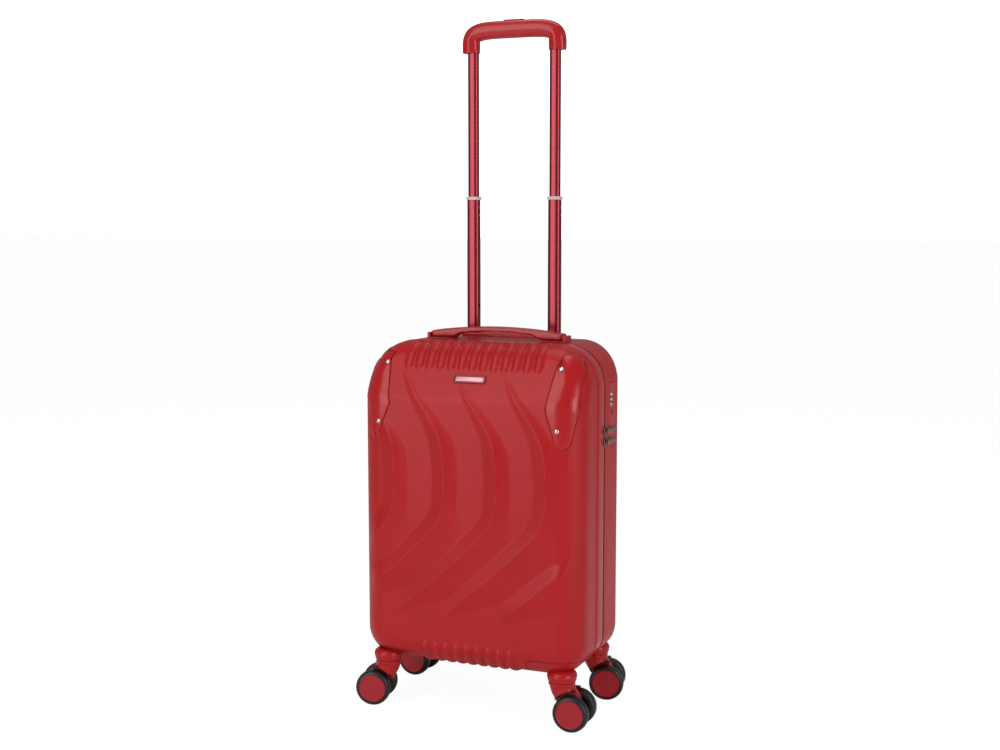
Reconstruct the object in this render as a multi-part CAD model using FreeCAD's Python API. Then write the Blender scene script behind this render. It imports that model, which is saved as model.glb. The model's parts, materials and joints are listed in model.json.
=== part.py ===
import FreeCAD, Part
import math
import os

# Hard shell cabin suitcase, millimetres. +Z is up, the front shell faces -Y and the lock is on +X.
# The origin is on the floor, under the middle of the case.

# ---- Case ----
case_width = 350.0
case_depth = 200.0
case_height = 475.0
case_above_swivel = 8.0
top_corner_radius = 62.0
bottom_corner_radius = 45.0
upright_edge_radius = 40.5
front_bottom_edge_radius = 36.0
front_top_edge_radius = 30.0
rear_top_edge_radius = 20.0
rear_bottom_edge_radius = 30.0
crease_radius = 15.0
crease_below_top = 76.0
lean_back = 43.0
shell_wall = 2.5

# ---- Rims, zip and lining ----
front_rim_y = -23.4
seam_gap = 2.0
zip_line_y = 7.0
zip_groove = 5.0
rim_tongue_depth = 9.0
rim_tongue_wall = 1.6
tape_thickness = 1.0
tape_width = 12.0
tape_gap = 0.8
teeth_height = 1.6
teeth_width = 1.6
hinge_side_margin = 75.0
lining_thickness = 1.5
lining_clearance = 1.2
lining_rim_clearance = 14.0
lining_floor_clearance = 0.5

# ---- Corner guards and badge ----
guard_thickness = 2.2
guard_screw_radius = 3.2
guard_screw_height = 1.0
guard_screw_sink = 1.5
guard_reach = 40.0
low_guard_screw = (35.0, 115.0)
high_guard_screw = (38.0, 30.0)
# Each corner of a guard's outline: distance in from the case's side, distance below its top, radius.
guard_outline = [(53.5, 87.0, 8.0), (36.0, 141.0, 8.0), (19.0, 141.0, 12.0), (7.0, 85.0, 30.0),
                 (9.0, 32.0, 22.0), (23.0, 10.0, 12.0), (44.0, 10.0, 6.0)]
badge_width = 50.0
badge_height = 12.5
badge_thickness = 2.4
badge_chamfer = 1.2
badge_below_top = 49.0

# ---- Casters ----
caster_inset_x = 35.0
caster_inset_y = 26.0
wheel_diameter = 53.0
wheel_width = 17.0
wheel_track = 38.0
trail = 19.4
tyre_depth = 5.5
tyre_shoulder = 4.0
axle_radius = 3.0
running_clearance = 0.05
hub_face_wall = 3.0
hub_recess_depth = 4.0
hub_boss_radius = 7.0
fork_web = 15.0
fork_boss_radius = 8.5
fork_ring_radius = 19.5
fork_ring_height = 3.0
fork_front_reach = 15.0
fork_trunk_shift = 4.0
fork_slot_depth = 6.0
fork_slot_span = 16.0
fork_slot_starts = (72.0, 92.0, 112.0, 132.0)
wheel_arch_gap = 2.0
boss_gap = 0.7
swivel_gap = 0.6
swivel_above_wheel = 14.0
stem_radius = 5.0
stem_length = 24.0
boss_top_radius = 21.5
boss_overlap = 6.0
housing_length_x = 83.0
front_housing_length_y = 48.0
rear_housing_length_y = 73.0
housing_height = 23.5
housing_corner_radius = 12.0
housing_seam = 0.8
swivel_turns = {"front_left": 11.0, "front_right": 2.0, "rear_right": 13.0, "rear_left": -2.0}

# ---- Telescopic handle ----
tube_x = 67.0
tube_inset = 16.0
upper_tube_width = 17.5
upper_tube_depth = 12.5
tube_wall = 1.2
tube_clearance = 0.3
tube_corner_radius = 5.0
fixed_tube_wall = 1.4
stage_overlap = 70.0
joint_rise = 210.0
middle_tube_engagement = 73.5
collar_height = 5.0
collar_wall = 1.0
grip_rise = 433.0
grip_height = 47.0
grip_end_wall = 8.25
grip_side_wall = 7.25
grip_bar_height = 26.0
grip_socket = 15.0
grip_leg_wall = 2.5
grip_shoulder_rise = 19.0
grip_crown_run = 40.0
bezel_end_wall = 8.75
bezel_side_wall = 6.25
bezel_height = 22.0
bezel_rise = 5.5
base_height = 16.0
base_margin = 18.0
button_length = 34.0
button_width = 13.0
button_rise = 0.6
button_travel = 4.0
button_depth = 8.0
button_clearance = 0.3
rod_radius = 1.8
rod_bar_height = 4.0
pin_radius = 2.5
pin_length = 7.0
pin_above_tube_end = 12.0
second_hole_below = 105.0

# ---- Carry handle ----
carry_half_length = 106.0
carry_y = 22.0
carry_width = 22.0
carry_top_rise = 21.0
carry_end_rise = 13.0
carry_foot_gap = 2.5
carry_opening_half = 58.0
carry_strap_height = 10.0
carry_foot_slope = 10.0
bracket_plate = 2.0
bracket_cheek = 4.5
bracket_gap = 1.5
bracket_length = 40.0

# ---- Lock, sliders and pull tabs ----
lock_behind_zip = 36.0
lock_width = 33.0
lock_below_top = 106.5
lock_height = 97.0
lock_depth = 16.0
lock_face_rise = 0.3
lock_corner_radius = 8.0
dial_radius = 7.2
dial_width = 5.0
dial_pitch = 7.4
dial_rise = 1.3
dial_clearance = 0.4
dial_offset_y = -3.0
first_dial_rise = 30.5
dial_grooves = 10
dial_groove_radius = 0.9
dial_pin_radius = 1.5
lock_button_radius = 4.0
lock_button_offset_z = 3.5
lock_button_rise = 1.0
lock_button_length = 8.0
lock_button_travel = 2.5
sliders_below_lock = (20.5, 36.9)
slider_width = 12.0
slider_length = 14.0
slider_plate = 1.0
slider_lug = 1.5
slider_lug_wall = 0.8
slider_gap = 0.4
slider_tab_gap = 0.4
slider_lug_half = 2.2
pull_pin_radius = 1.1
pull_pin_rise = 3.4
pull_ring_radius = 1.9
pull_length = 43.0
pull_width = 7.0
pull_thickness = 1.0
pull_hole_radius = 1.8
pull_hole_inset = 4.0

# ---- Packing straps ----
strap_width = 25.0
strap_thickness = 1.5
strap_floor_gap = 1.0
strap_reach_x = 105.0
strap_reach_z = 175.0
buckle_width = 46.0
buckle_height = 34.0
buckle_thickness = 7.0
buckle_corner_radius = 6.0

# ---- Worked-out places ----
swivel_plane_z = wheel_diameter + swivel_above_wheel
case_bottom = swivel_plane_z + case_above_swivel
case_top = case_bottom + case_height
side_x = case_width / 2
front_y = -case_depth / 2
rear_y = case_depth / 2
crease_z = case_top - crease_below_top
wheel_radius = wheel_diameter / 2
caster_x = side_x - caster_inset_x
caster_y = rear_y - caster_inset_y
tube_y = rear_y - tube_inset
band_rear_y = zip_line_y - zip_groove / 2
rear_rim_y = zip_line_y + zip_groove / 2
lining_inset = shell_wall + tape_thickness + lining_clearance
middle_tube_width = upper_tube_width + 2 * (tube_clearance + tube_wall)
middle_tube_depth = upper_tube_depth + 2 * (tube_clearance + tube_wall)
fixed_tube_width = middle_tube_width + 2 * (tube_clearance + fixed_tube_wall)
fixed_tube_depth = middle_tube_depth + 2 * (tube_clearance + fixed_tube_wall)
joint_z = case_top + joint_rise
grip_bottom_z = case_top + grip_rise
upper_tube_bottom = joint_z - stage_overlap
bezel_half_width = tube_x + middle_tube_width / 2 + bezel_end_wall
bezel_half_depth = middle_tube_depth / 2 + bezel_side_wall
bezel_top = case_top + bezel_rise
bezel_bottom = bezel_top - bezel_height
middle_tube_bottom = bezel_top - middle_tube_engagement
grip_half_width = tube_x + upper_tube_width / 2 + grip_end_wall
grip_depth = upper_tube_depth + 2 * grip_side_wall
grip_top = grip_bottom_z + grip_height
base_z = case_bottom + shell_wall
pin_z = upper_tube_bottom + pin_above_tube_end
floor_y = tube_y - bezel_half_depth - lining_thickness - lining_floor_clearance
lock_y = zip_line_y + lock_behind_zip
lock_z = case_top - lock_below_top
dial_y = lock_y + dial_offset_y
first_dial_z = lock_z + first_dial_rise
lock_button_z = lock_z + lock_button_offset_z
slider_z = [lock_z - below for below in sliders_below_lock]


def vector(x, y, z):
    return FreeCAD.Vector(x, y, z)


def in_xz(u, v):
    return vector(u, 0, v)


def in_yz(u, v):
    return vector(0, u, v)


def in_xy(u, v):
    return vector(u, v, 0)


def rounded_face(corners, place):
    """Face inside straight sides joined by tangent arcs; each corner is (u, v, radius)."""
    edges = []
    ends = []
    for i, (u, v, radius) in enumerate(corners):
        before = corners[i - 1]
        after = corners[(i + 1) % len(corners)]
        corner = vector(u, v, 0)
        back = (vector(before[0], before[1], 0) - corner).normalize()
        ahead = (vector(after[0], after[1], 0) - corner).normalize()
        if radius <= 0:
            ends.append((corner, None, corner))
            continue
        half = back.getAngle(ahead) / 2
        reach = radius / math.tan(half)
        middle = (back + ahead).normalize() * (radius / math.sin(half) - radius)
        ends.append((corner + back * reach, corner + middle, corner + ahead * reach))
    for i, (start, middle, end) in enumerate(ends):
        previous_end = ends[i - 1][2]
        if (start - previous_end).Length > 1e-6:
            edges.append(Part.LineSegment(place(previous_end.x, previous_end.y), place(start.x, start.y)))
        if middle is not None:
            arc_points = [place(p.x, p.y) for p in (start, middle, end)]
            edges.append(Part.Arc(*arc_points))
    return Part.Face(Part.Wire([edge.toShape() for edge in edges]))


def inset_corners(corners, inset):
    """Move every side of a convex counter-clockwise outline inwards; the radii shrink with it."""
    moved = []
    count = len(corners)
    for i, (u, v, radius) in enumerate(corners):
        before = corners[i - 1]
        after = corners[(i + 1) % count]
        d1 = vector(u - before[0], v - before[1], 0).normalize()
        d2 = vector(after[0] - u, after[1] - v, 0).normalize()
        n1 = vector(-d1.y, d1.x, 0)
        n2 = vector(-d2.y, d2.x, 0)
        shift = (n1 + n2) * (inset / (1 + n1.dot(n2)))
        moved.append((u + shift.x, v + shift.y, max(radius - inset, 0.5)))
    return moved


def box(x0, x1, y0, y1, z0, z1):
    return Part.makeBox(x1 - x0, y1 - y0, z1 - z0, vector(x0, y0, z0))


def rounded_bar(cx, cy, width, depth, z0, z1, radius):
    """Upright bar with a rounded rectangular section."""
    half_w = width / 2
    half_d = depth / 2
    corners = [(cx - half_w, cy - half_d, radius), (cx + half_w, cy - half_d, radius),
               (cx + half_w, cy + half_d, radius), (cx - half_w, cy + half_d, radius)]
    face = rounded_face(corners, in_xy)
    face.translate(vector(0, 0, z0))
    return face.extrude(vector(0, 0, z1 - z0))


def tube(cx, cy, width, depth, wall, z0, z1):
    outer = rounded_bar(cx, cy, width, depth, z0, z1, tube_corner_radius)
    inner_radius = tube_corner_radius - wall
    inner = rounded_bar(cx, cy, width - 2 * wall, depth - 2 * wall, z0 - 1, z1 + 1, inner_radius)
    return outer.cut(inner)


def group(solids):
    return Part.makeCompound(solids)


blocks = {}


def case_block(inset):
    """The whole case, moved inwards by inset: where its front, side and plan outlines cross."""
    if inset in blocks:
        return blocks[inset].copy()
    front_view = [(-side_x, case_bottom, bottom_corner_radius), (side_x, case_bottom, bottom_corner_radius),
                  (side_x, case_top, top_corner_radius), (-side_x, case_top, top_corner_radius)]
    side_view = [(front_y, case_bottom, front_bottom_edge_radius),
                 (rear_y, case_bottom, rear_bottom_edge_radius),
                 (rear_y, case_top, rear_top_edge_radius),
                 (front_y + lean_back, case_top, front_top_edge_radius),
                 (front_y, crease_z, crease_radius)]
    plan_view = [(-side_x, front_y, upright_edge_radius), (side_x, front_y, upright_edge_radius),
                 (side_x, rear_y, upright_edge_radius), (-side_x, rear_y, upright_edge_radius)]
    # The side view is listed from front bottom to rear bottom, which is counter-clockwise in (y, z).
    front_face = rounded_face(inset_corners(front_view, inset), in_xz)
    side_face = rounded_face(inset_corners(side_view, inset), in_yz)
    plan_face = rounded_face(inset_corners(plan_view, inset), in_xy)
    front_face.translate(vector(0, -case_depth, 0))
    side_face.translate(vector(-case_width, 0, 0))
    along_y = front_face.extrude(vector(0, 2 * case_depth, 0))
    along_x = side_face.extrude(vector(2 * case_width, 0, 0))
    along_z = plan_face.extrude(vector(0, 0, 2 * case_top))
    blocks[inset] = along_y.common(along_x).common(along_z)
    return blocks[inset].copy()


def slice_y(solid, y0, y1):
    reach = case_width
    return solid.common(box(-reach, reach, y0, y1, 0, 2 * case_top))


def wall(outer_inset, inner_inset, y0, y1):
    """Ring or tray of the case between two insets and two depths."""
    return slice_y(case_block(outer_inset).cut(case_block(inner_inset)), y0, y1)


def housing_zone(side, end, grow):
    """Space of one bottom corner moulding; side is -1 or 1 along X, end is -1 or 1 along Y."""
    inner_x = side_x - housing_length_x - grow
    top_z = case_bottom + housing_height + grow
    length_y = front_housing_length_y if end < 0 else rear_housing_length_y
    inner_y = rear_y - length_y - grow
    low_z = case_bottom - 5
    far_x = side_x + 5
    corners = [(side * inner_x, low_z, 0), (side * far_x, low_z, 0), (side * far_x, top_z, 0),
               (side * inner_x, top_z, housing_corner_radius + grow)]
    face = rounded_face(corners, in_xz)
    far_y = rear_y + 5
    face.translate(vector(0, end * inner_y, 0))
    return face.extrude(vector(0, end * (far_y - inner_y), 0))


def hinge_side_cut():
    """Space beside the straight run of the hinge side, where the zip is left out."""
    low = case_bottom + hinge_side_margin
    high = case_top - hinge_side_margin
    return box(-side_x - 5, -side_x + 20, -60, 60, low, high)


def bezel_block(grow):
    return rounded_bar(0, tube_y, 2 * (bezel_half_width + grow), 2 * (bezel_half_depth + grow),
                       bezel_bottom - grow, bezel_top, bezel_half_depth - 2)


def lock_block(grow, x0, x1):
    half_w = lock_width / 2 + grow
    half_h = lock_height / 2 + grow
    radius = lock_corner_radius + grow
    corners = [(lock_y - half_w, lock_z - half_h, radius), (lock_y + half_w, lock_z - half_h, radius),
               (lock_y + half_w, lock_z + half_h, radius), (lock_y - half_w, lock_z + half_h, radius)]
    face = rounded_face(corners, in_yz)
    face.translate(vector(x0, 0, 0))
    return face.extrude(vector(x1 - x0, 0, 0))


def front_shell():
    shell = wall(0, shell_wall, front_y - 1, front_rim_y)
    for side in (-1, 1):
        shell = shell.cut(housing_zone(side, -1, housing_seam))
    return shell


def front_trim_band():
    """Smooth rim moulding behind the front shell, with a tongue that reaches inside the shell."""
    start = front_rim_y + seam_gap
    band = wall(0, shell_wall, start, band_rear_y)
    tongue_inner = shell_wall + rim_tongue_wall
    tongue = wall(shell_wall, tongue_inner, front_rim_y - rim_tongue_depth, start + tape_width / 2)
    for side in (-1, 1):
        tongue = tongue.cut(housing_zone(side, -1, housing_seam))
    return band.fuse(tongue).removeSplitter()


def front_zip():
    face_y = zip_line_y - tape_gap / 2
    tape = wall(shell_wall, shell_wall + tape_thickness, face_y - tape_width + 3, face_y)
    teeth = wall(shell_wall - teeth_height, shell_wall, face_y - teeth_width, face_y)
    return tape.fuse(teeth).removeSplitter().cut(hinge_side_cut())


def rear_zip():
    face_y = zip_line_y + tape_gap / 2
    tape = wall(shell_wall, shell_wall + tape_thickness, face_y, face_y + tape_width)
    teeth = wall(shell_wall - teeth_height, shell_wall, face_y, face_y + teeth_width)
    zip_ring = tape.fuse(teeth).removeSplitter().cut(hinge_side_cut())
    for side in (-1, 1):
        zip_ring = zip_ring.cut(housing_zone(side, 1, housing_seam))
    return zip_ring


def hinge_strip():
    """Fabric strip inside the hinge side, drawn as the half that is sewn to the rear shell."""
    low = case_bottom + hinge_side_margin + 1
    high = case_top - hinge_side_margin - 1
    x0 = -side_x + shell_wall
    return box(x0, x0 + tape_thickness, band_rear_y, zip_line_y + tape_width, low, high)


def front_lining():
    lining = wall(lining_inset, lining_inset + lining_thickness, front_y, -lining_rim_clearance)
    for side in (-1, 1):
        lining = lining.cut(housing_zone(side, -1, lining_clearance))
    return lining


def rear_shell():
    shell = wall(0, shell_wall, rear_rim_y, rear_y + 1)
    for side in (-1, 1):
        shell = shell.cut(housing_zone(side, 1, housing_seam))
    shell = shell.cut(bezel_block(0))
    return shell.cut(lock_block(0, side_x - 30, side_x + 5))


def rear_lining():
    """Tray of cloth-covered sheet; its floor hides the handle tubes."""
    sides = wall(lining_inset, lining_inset + lining_thickness, lining_rim_clearance + zip_line_y, floor_y)
    floor = slice_y(case_block(lining_inset), floor_y, floor_y + lining_thickness)
    lining = sides.fuse(floor).removeSplitter()
    for side in (-1, 1):
        lining = lining.cut(housing_zone(side, 1, lining_clearance))
    return lining.cut(lock_block(lining_clearance, side_x - lock_depth - 3, side_x + 5))


def wheel_housing(name_side, name_end):
    """Bottom corner moulding with the swivel socket under it."""
    block = case_block(0).common(housing_zone(name_side, name_end, 0))
    x = name_side * caster_x
    y = name_end * caster_y
    socket_bottom = swivel_plane_z + swivel_gap
    cone_height = case_bottom + boss_overlap - socket_bottom
    cone = Part.makeCone(fork_ring_radius + 0.5, boss_top_radius, cone_height, vector(x, y, socket_bottom))
    bore_radius = stem_radius + running_clearance
    bore = Part.makeCylinder(bore_radius, stem_length + 2, vector(x, y, swivel_plane_z - 1))
    return block.fuse(cone).removeSplitter().cut(bore)


def corner_guard(side):
    """Moulded plate that wraps one upper front corner."""
    outline = [(side * (side_x - inset), case_top - drop, radius) for inset, drop, radius in guard_outline]
    face = rounded_face(outline, in_xz)
    face.translate(vector(0, -case_depth, 0))
    prism = face.extrude(vector(0, case_depth, 0))
    guard = wall(-guard_thickness, 0, front_y - 2 * guard_thickness, front_y + guard_reach).common(prism)
    for screw in guard_screws():
        guard = guard.cut(screw)
    return guard


def guard_screws():
    """Pan-head screws that hold the guards, two on each."""
    screws = []
    low_y = front_y - guard_thickness
    lean_angle = math.atan2(lean_back, crease_below_top)
    lean_out = guard_thickness / math.cos(lean_angle)
    outwards = vector(0, -math.cos(lean_angle), math.sin(lean_angle))
    height = crease_below_top - high_guard_screw[1]
    high_y = front_y + height * lean_back / crease_below_top - lean_out
    length = guard_screw_height + guard_screw_sink
    for side in (-1, 1):
        low_head = vector(side * (side_x - low_guard_screw[0]), low_y, case_top - low_guard_screw[1])
        low_start = low_head + vector(0, guard_screw_sink, 0)
        screws.append(Part.makeCylinder(guard_screw_radius, length, low_start, vector(0, -1, 0)))
        high_head = vector(side * (side_x - high_guard_screw[0]), high_y, crease_z + height)
        high_start = high_head - outwards * guard_screw_sink
        screws.append(Part.makeCylinder(guard_screw_radius, length, high_start, outwards))
    return screws


def badge_plate():
    """Blank plate with a bevelled rim, flat on the leaning face."""
    angle = math.degrees(math.atan2(lean_back, crease_below_top))
    plate = box(-badge_width / 2, badge_width / 2, -badge_thickness, 0, -badge_height / 2, badge_height / 2)
    front_edges = [edge for edge in plate.Edges
                   if all(abs(vertex.Y + badge_thickness) < 0.01 for vertex in edge.Vertexes)]
    plate = plate.makeChamfer(badge_chamfer, front_edges)
    plate.rotate(vector(0, 0, 0), vector(1, 0, 0), -angle)
    height = crease_below_top - badge_below_top
    plate.translate(vector(0, front_y + height * lean_back / crease_below_top, crease_z + height))
    return plate


def ring_arc(inner, outer, start_deg, end_deg, length):
    """Arched slot about the Y axis, from the start to the end angle above +X."""
    def point(radius, degrees):
        return in_xz(radius * math.cos(math.radians(degrees)), radius * math.sin(math.radians(degrees)))
    middle = (start_deg + end_deg) / 2
    edges = [Part.Arc(point(outer, start_deg), point(outer, middle), point(outer, end_deg)),
             Part.LineSegment(point(outer, end_deg), point(inner, end_deg)),
             Part.Arc(point(inner, end_deg), point(inner, middle), point(inner, start_deg)),
             Part.LineSegment(point(inner, start_deg), point(outer, start_deg))]
    face = Part.Face(Part.Wire([edge.toShape() for edge in edges]))
    face.translate(vector(0, -length / 2, 0))
    return face.extrude(vector(0, length, 0))


def fork():
    """Swivel fork about the Z axis, with its wheels trailing towards +X and its axle along Y."""
    neck_z = swivel_plane_z - fork_ring_height
    trunk_bottom = wheel_diameter + wheel_arch_gap
    ring = Part.makeCylinder(fork_ring_radius, fork_ring_height, vector(0, 0, neck_z))
    top_circle = Part.Wire([Part.makeCircle(fork_ring_radius - 0.5, vector(0, 0, neck_z))])
    low_circle = Part.Wire([Part.makeCircle(fork_ring_radius - 2, vector(fork_trunk_shift, 0, trunk_bottom))])
    trunk = Part.makeLoft([top_circle, low_circle], True)
    half_ring = fork_ring_radius - 0.5
    low_z = wheel_radius - fork_boss_radius
    corners = [(-half_ring, neck_z, 0), (-fork_front_reach, trunk_bottom - 4, 6),
               (trail - fork_boss_radius, low_z + 2, 6), (trail + fork_boss_radius, low_z, 8),
               (trail + fork_boss_radius, low_z + 22, 12), (half_ring, neck_z, 0)]
    face = rounded_face(corners, in_xz)
    face.translate(vector(0, -fork_web / 2, 0))
    web = face.extrude(vector(0, fork_web, 0))
    boss_width = wheel_track - wheel_width - 2 * boss_gap
    boss = Part.makeCylinder(fork_boss_radius, boss_width, vector(trail, -boss_width / 2, wheel_radius),
                             vector(0, 1, 0))
    stem = Part.makeCylinder(stem_radius, stem_length, vector(0, 0, neck_z + 1))
    body = ring.fuse([trunk, web, boss, stem]).removeSplitter()
    arch_radius = wheel_radius + wheel_arch_gap
    for start in fork_slot_starts:
        end = start + fork_slot_span
        slot = ring_arc(arch_radius, arch_radius + fork_slot_depth, start, end, wheel_diameter)
        slot.translate(vector(trail, 0, wheel_radius))
        body = body.cut(slot)
    return body.cut(axle())


def axle():
    length = wheel_track + wheel_width - 2 * hub_face_wall - 1
    return Part.makeCylinder(axle_radius, length, vector(trail, -length / 2, wheel_radius), vector(0, 1, 0))


def tyre(end):
    """Rubber ring; end is -1 or 1 along the axle."""
    y0 = end * wheel_track / 2 - wheel_width / 2
    ring = Part.makeCylinder(wheel_radius, wheel_width, vector(trail, y0, wheel_radius), vector(0, 1, 0))
    rims = [edge for edge in ring.Edges if isinstance(edge.Curve, Part.Circle)]
    ring = ring.makeFillet(tyre_shoulder, rims)
    core = Part.makeCylinder(wheel_radius - tyre_depth, wheel_width + 2, vector(trail, y0 - 1, wheel_radius),
                             vector(0, 1, 0))
    return ring.cut(core)


def hub(end):
    """Wheel centre with a closed outer face, a blind bore and a recess round its boss."""
    radius = wheel_radius - tyre_depth
    inner_y = wheel_track / 2 - wheel_width / 2
    width = wheel_width - 0.8
    start = vector(trail, end * inner_y, wheel_radius)
    outwards = vector(0, end, 0)
    disc = Part.makeCylinder(radius, width, start, outwards)
    recess = Part.makeCylinder(radius - 3, hub_recess_depth, start, outwards)
    boss = Part.makeCylinder(hub_boss_radius, hub_recess_depth, start, outwards)
    bore = Part.makeCylinder(axle_radius + running_clearance, width - hub_face_wall + 0.8, start, outwards)
    return disc.cut(recess).fuse(boss).removeSplitter().cut(bore)


def place_caster(shape, corner):
    """Turn a caster piece to its rest angle and put it under its corner."""
    side = 1 if "right" in corner else -1
    end = 1 if "rear" in corner else -1
    placed = shape.copy()
    turn = swivel_turns[corner] + (0 if side > 0 else 180)
    placed.rotate(vector(0, 0, 0), vector(0, 0, 1), turn)
    placed.translate(vector(side * caster_x, end * caster_y, 0))
    return placed


def pair(make):
    """The same piece on the left and the right tube, as two solids."""
    return group([make(-1), make(1)])


def fixed_tube(side):
    return tube(side * tube_x, tube_y, fixed_tube_width, fixed_tube_depth, fixed_tube_wall,
                base_z + base_height, bezel_bottom)


def pin_hole(side, z, radius, reach):
    """Round hole towards the middle of the case, through one wall of a tube."""
    return Part.makeCylinder(radius, reach, vector(side * tube_x, tube_y, z), vector(-side, 0, 0))


def middle_tube(side):
    body = tube(side * tube_x, tube_y, middle_tube_width, middle_tube_depth, tube_wall,
                middle_tube_bottom, joint_z)
    body = body.cut(pin_hole(side, pin_z, pin_radius + 0.3, middle_tube_width))
    return body.cut(pin_hole(side, pin_z - second_hole_below, pin_radius + 0.3, middle_tube_width))


def tube_collar(side):
    collar_width = middle_tube_width + 2 * collar_wall
    collar_depth = middle_tube_depth + 2 * collar_wall
    wall_in = (collar_width - upper_tube_width) / 2 - tube_clearance
    ring = rounded_bar(side * tube_x, tube_y, collar_width, collar_depth, joint_z, joint_z + collar_height,
                       tube_corner_radius + collar_wall)
    hole = rounded_bar(side * tube_x, tube_y, collar_width - 2 * wall_in, collar_depth - 2 * wall_in,
                       joint_z - 1, joint_z + collar_height + 1, tube_corner_radius - tube_wall)
    return ring.cut(hole)


def upper_tube(side):
    body = tube(side * tube_x, tube_y, upper_tube_width, upper_tube_depth, tube_wall,
                upper_tube_bottom, grip_bottom_z + grip_socket)
    return body.cut(pin_hole(side, pin_z, pin_radius + running_clearance, upper_tube_width))


def handle_bezel():
    bezel = bezel_block(0)
    for side in (-1, 1):
        hole = rounded_bar(side * tube_x, tube_y, middle_tube_width + 2 * tube_clearance,
                           middle_tube_depth + 2 * tube_clearance, bezel_bottom - 1, bezel_top + 1,
                           tube_corner_radius + tube_clearance)
        bezel = bezel.cut(hole)
    return bezel


def handle_base():
    """Foot that holds the lower ends of the fixed tubes."""
    half_x = tube_x + base_margin
    return box(-half_x, half_x, tube_y - bezel_half_depth, rear_y - shell_wall,
               base_z, base_z + base_height).common(case_block(shell_wall))


def grip():
    """Arched grip with a socket for each upper tube and a well for the release button."""
    w = grip_half_width
    z0 = grip_bottom_z
    top = grip_top
    leg_out = tube_x + upper_tube_width / 2 + grip_leg_wall
    leg_in = tube_x - upper_tube_width / 2 - grip_leg_wall
    crown = w - grip_crown_run
    shoulder_z = z0 + grip_shoulder_rise
    bar_z = top - grip_bar_height
    outer = [(leg_out, z0, 0), (w, shoulder_z, 10), (w - 4, top - 8, 14), (crown, top - 0.5, 60),
             (-crown, top - 0.5, 60), (-(w - 4), top - 8, 14), (-w, shoulder_z, 10), (-leg_out, z0, 0)]
    inner = [(-leg_in, z0, 0), (-leg_in, bar_z, 15), (leg_in, bar_z, 15), (leg_in, z0, 0)]
    face = rounded_face(outer + inner, in_xz)
    face.translate(vector(0, tube_y - grip_depth / 2, 0))
    arch = face.extrude(vector(0, grip_depth, 0))
    half = grip_depth / 2
    side_view = [(tube_y - half + 4, z0 - 1, 0), (tube_y + half - 4, z0 - 1, 0), (tube_y + half, z0 + 15, 20),
                 (tube_y + half, top, 9), (tube_y - half, top, 9), (tube_y - half, z0 + 15, 20)]
    side_face = rounded_face(side_view, in_yz)
    side_face.translate(vector(-2 * w, 0, 0))
    arch = arch.common(side_face.extrude(vector(4 * w, 0, 0)))
    for side in (-1, 1):
        arch = arch.cut(rounded_bar(side * tube_x, tube_y, upper_tube_width, upper_tube_depth,
                                    z0 - 1, z0 + grip_socket, tube_corner_radius))
        arch = arch.cut(Part.makeCylinder(rod_radius + 1, grip_height, vector(side * tube_x, tube_y, z0))
                        .common(box(-w, w, 0, rear_y, z0, rod_bar_top() + 0.5)))
    arch = arch.cut(release_button_block(button_clearance, button_travel))
    return arch.cut(rod_channel())


def rod_bar_top():
    return grip_top - button_depth


def rod_channel():
    """Slot inside the grip in which the push rods' cross bar moves."""
    low = rod_bar_top() - rod_bar_height - button_travel - 0.5
    half = rod_radius + 0.5
    reach = tube_x + rod_radius + 0.5
    return box(-reach, reach, tube_y - half, tube_y + half, low, rod_bar_top() + 0.1)


def release_button_block(clearance, travel):
    bottom = grip_top - button_depth - travel
    return rounded_bar(0, tube_y, button_length + 2 * clearance, button_width + 2 * clearance,
                       bottom, grip_top + button_rise, button_width / 2 - 0.5)


def release_button():
    return release_button_block(0, 0)


def push_rods():
    """Two rods joined by the cross bar under the button."""
    top = rod_bar_top()
    reach = tube_x + rod_radius
    body = box(-reach, reach, tube_y - rod_radius, tube_y + rod_radius, top - rod_bar_height, top)
    low = pin_z + pin_radius + button_travel + 1
    for side in (-1, 1):
        rod = Part.makeCylinder(rod_radius, top - rod_bar_height - low, vector(side * tube_x, tube_y, low))
        body = body.fuse(rod)
    return body.removeSplitter()


def lock_pin(side):
    """Sprung pin near the foot of an upper tube; its tip stops inside the middle tube's wall."""
    tip = upper_tube_width / 2 - 0.1
    return Part.makeCylinder(pin_radius, pin_length, vector(side * (tube_x - tip), tube_y, pin_z),
                             vector(side, 0, 0))


def carry_handle():
    """Moulded strap with a thick foot at each end."""
    foot_z = case_top + carry_foot_gap
    end_z = case_top + carry_end_rise
    top_z = case_top + carry_top_rise
    under_z = top_z - carry_strap_height
    inner = carry_opening_half
    foot = inner + carry_foot_slope
    half = carry_half_length
    outline = [(-half, foot_z, 0), (-foot, foot_z, 0), (-inner, under_z, 5), (inner, under_z, 5),
               (foot, foot_z, 0), (half, foot_z, 0), (half, end_z, 3), (0, top_z, 500), (-half, end_z, 3)]
    face = rounded_face(outline, in_xz)
    face.translate(vector(0, carry_y - carry_width / 2, 0))
    strap = face.extrude(vector(0, carry_width, 0))
    side_view = [(carry_y - carry_width / 2, case_top, 0), (carry_y + carry_width / 2, case_top, 0),
                 (carry_y + carry_width / 2, top_z + 5, 12), (carry_y - carry_width / 2, top_z + 5, 12)]
    side_face = rounded_face(side_view, in_yz)
    side_face.translate(vector(-case_width, 0, 0))
    return strap.common(side_face.extrude(vector(2 * case_width, 0, 0)))


def carry_bracket(side):
    """Screwed plate under one foot, with a cheek at its end."""
    outer = carry_half_length + bracket_gap + bracket_cheek
    half_y = carry_width / 2 + 2
    low_x = outer - bracket_length
    plate = box(low_x, outer, carry_y - half_y, carry_y + half_y, case_top, case_top + bracket_plate)
    cheek = box(outer - bracket_cheek, outer, carry_y - half_y, carry_y + half_y,
                case_top, case_top + carry_end_rise - 4)
    bracket = plate.fuse(cheek).removeSplitter()
    if side < 0:
        bracket = bracket.mirror(vector(0, 0, 0), vector(1, 0, 0))
    return bracket


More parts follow.
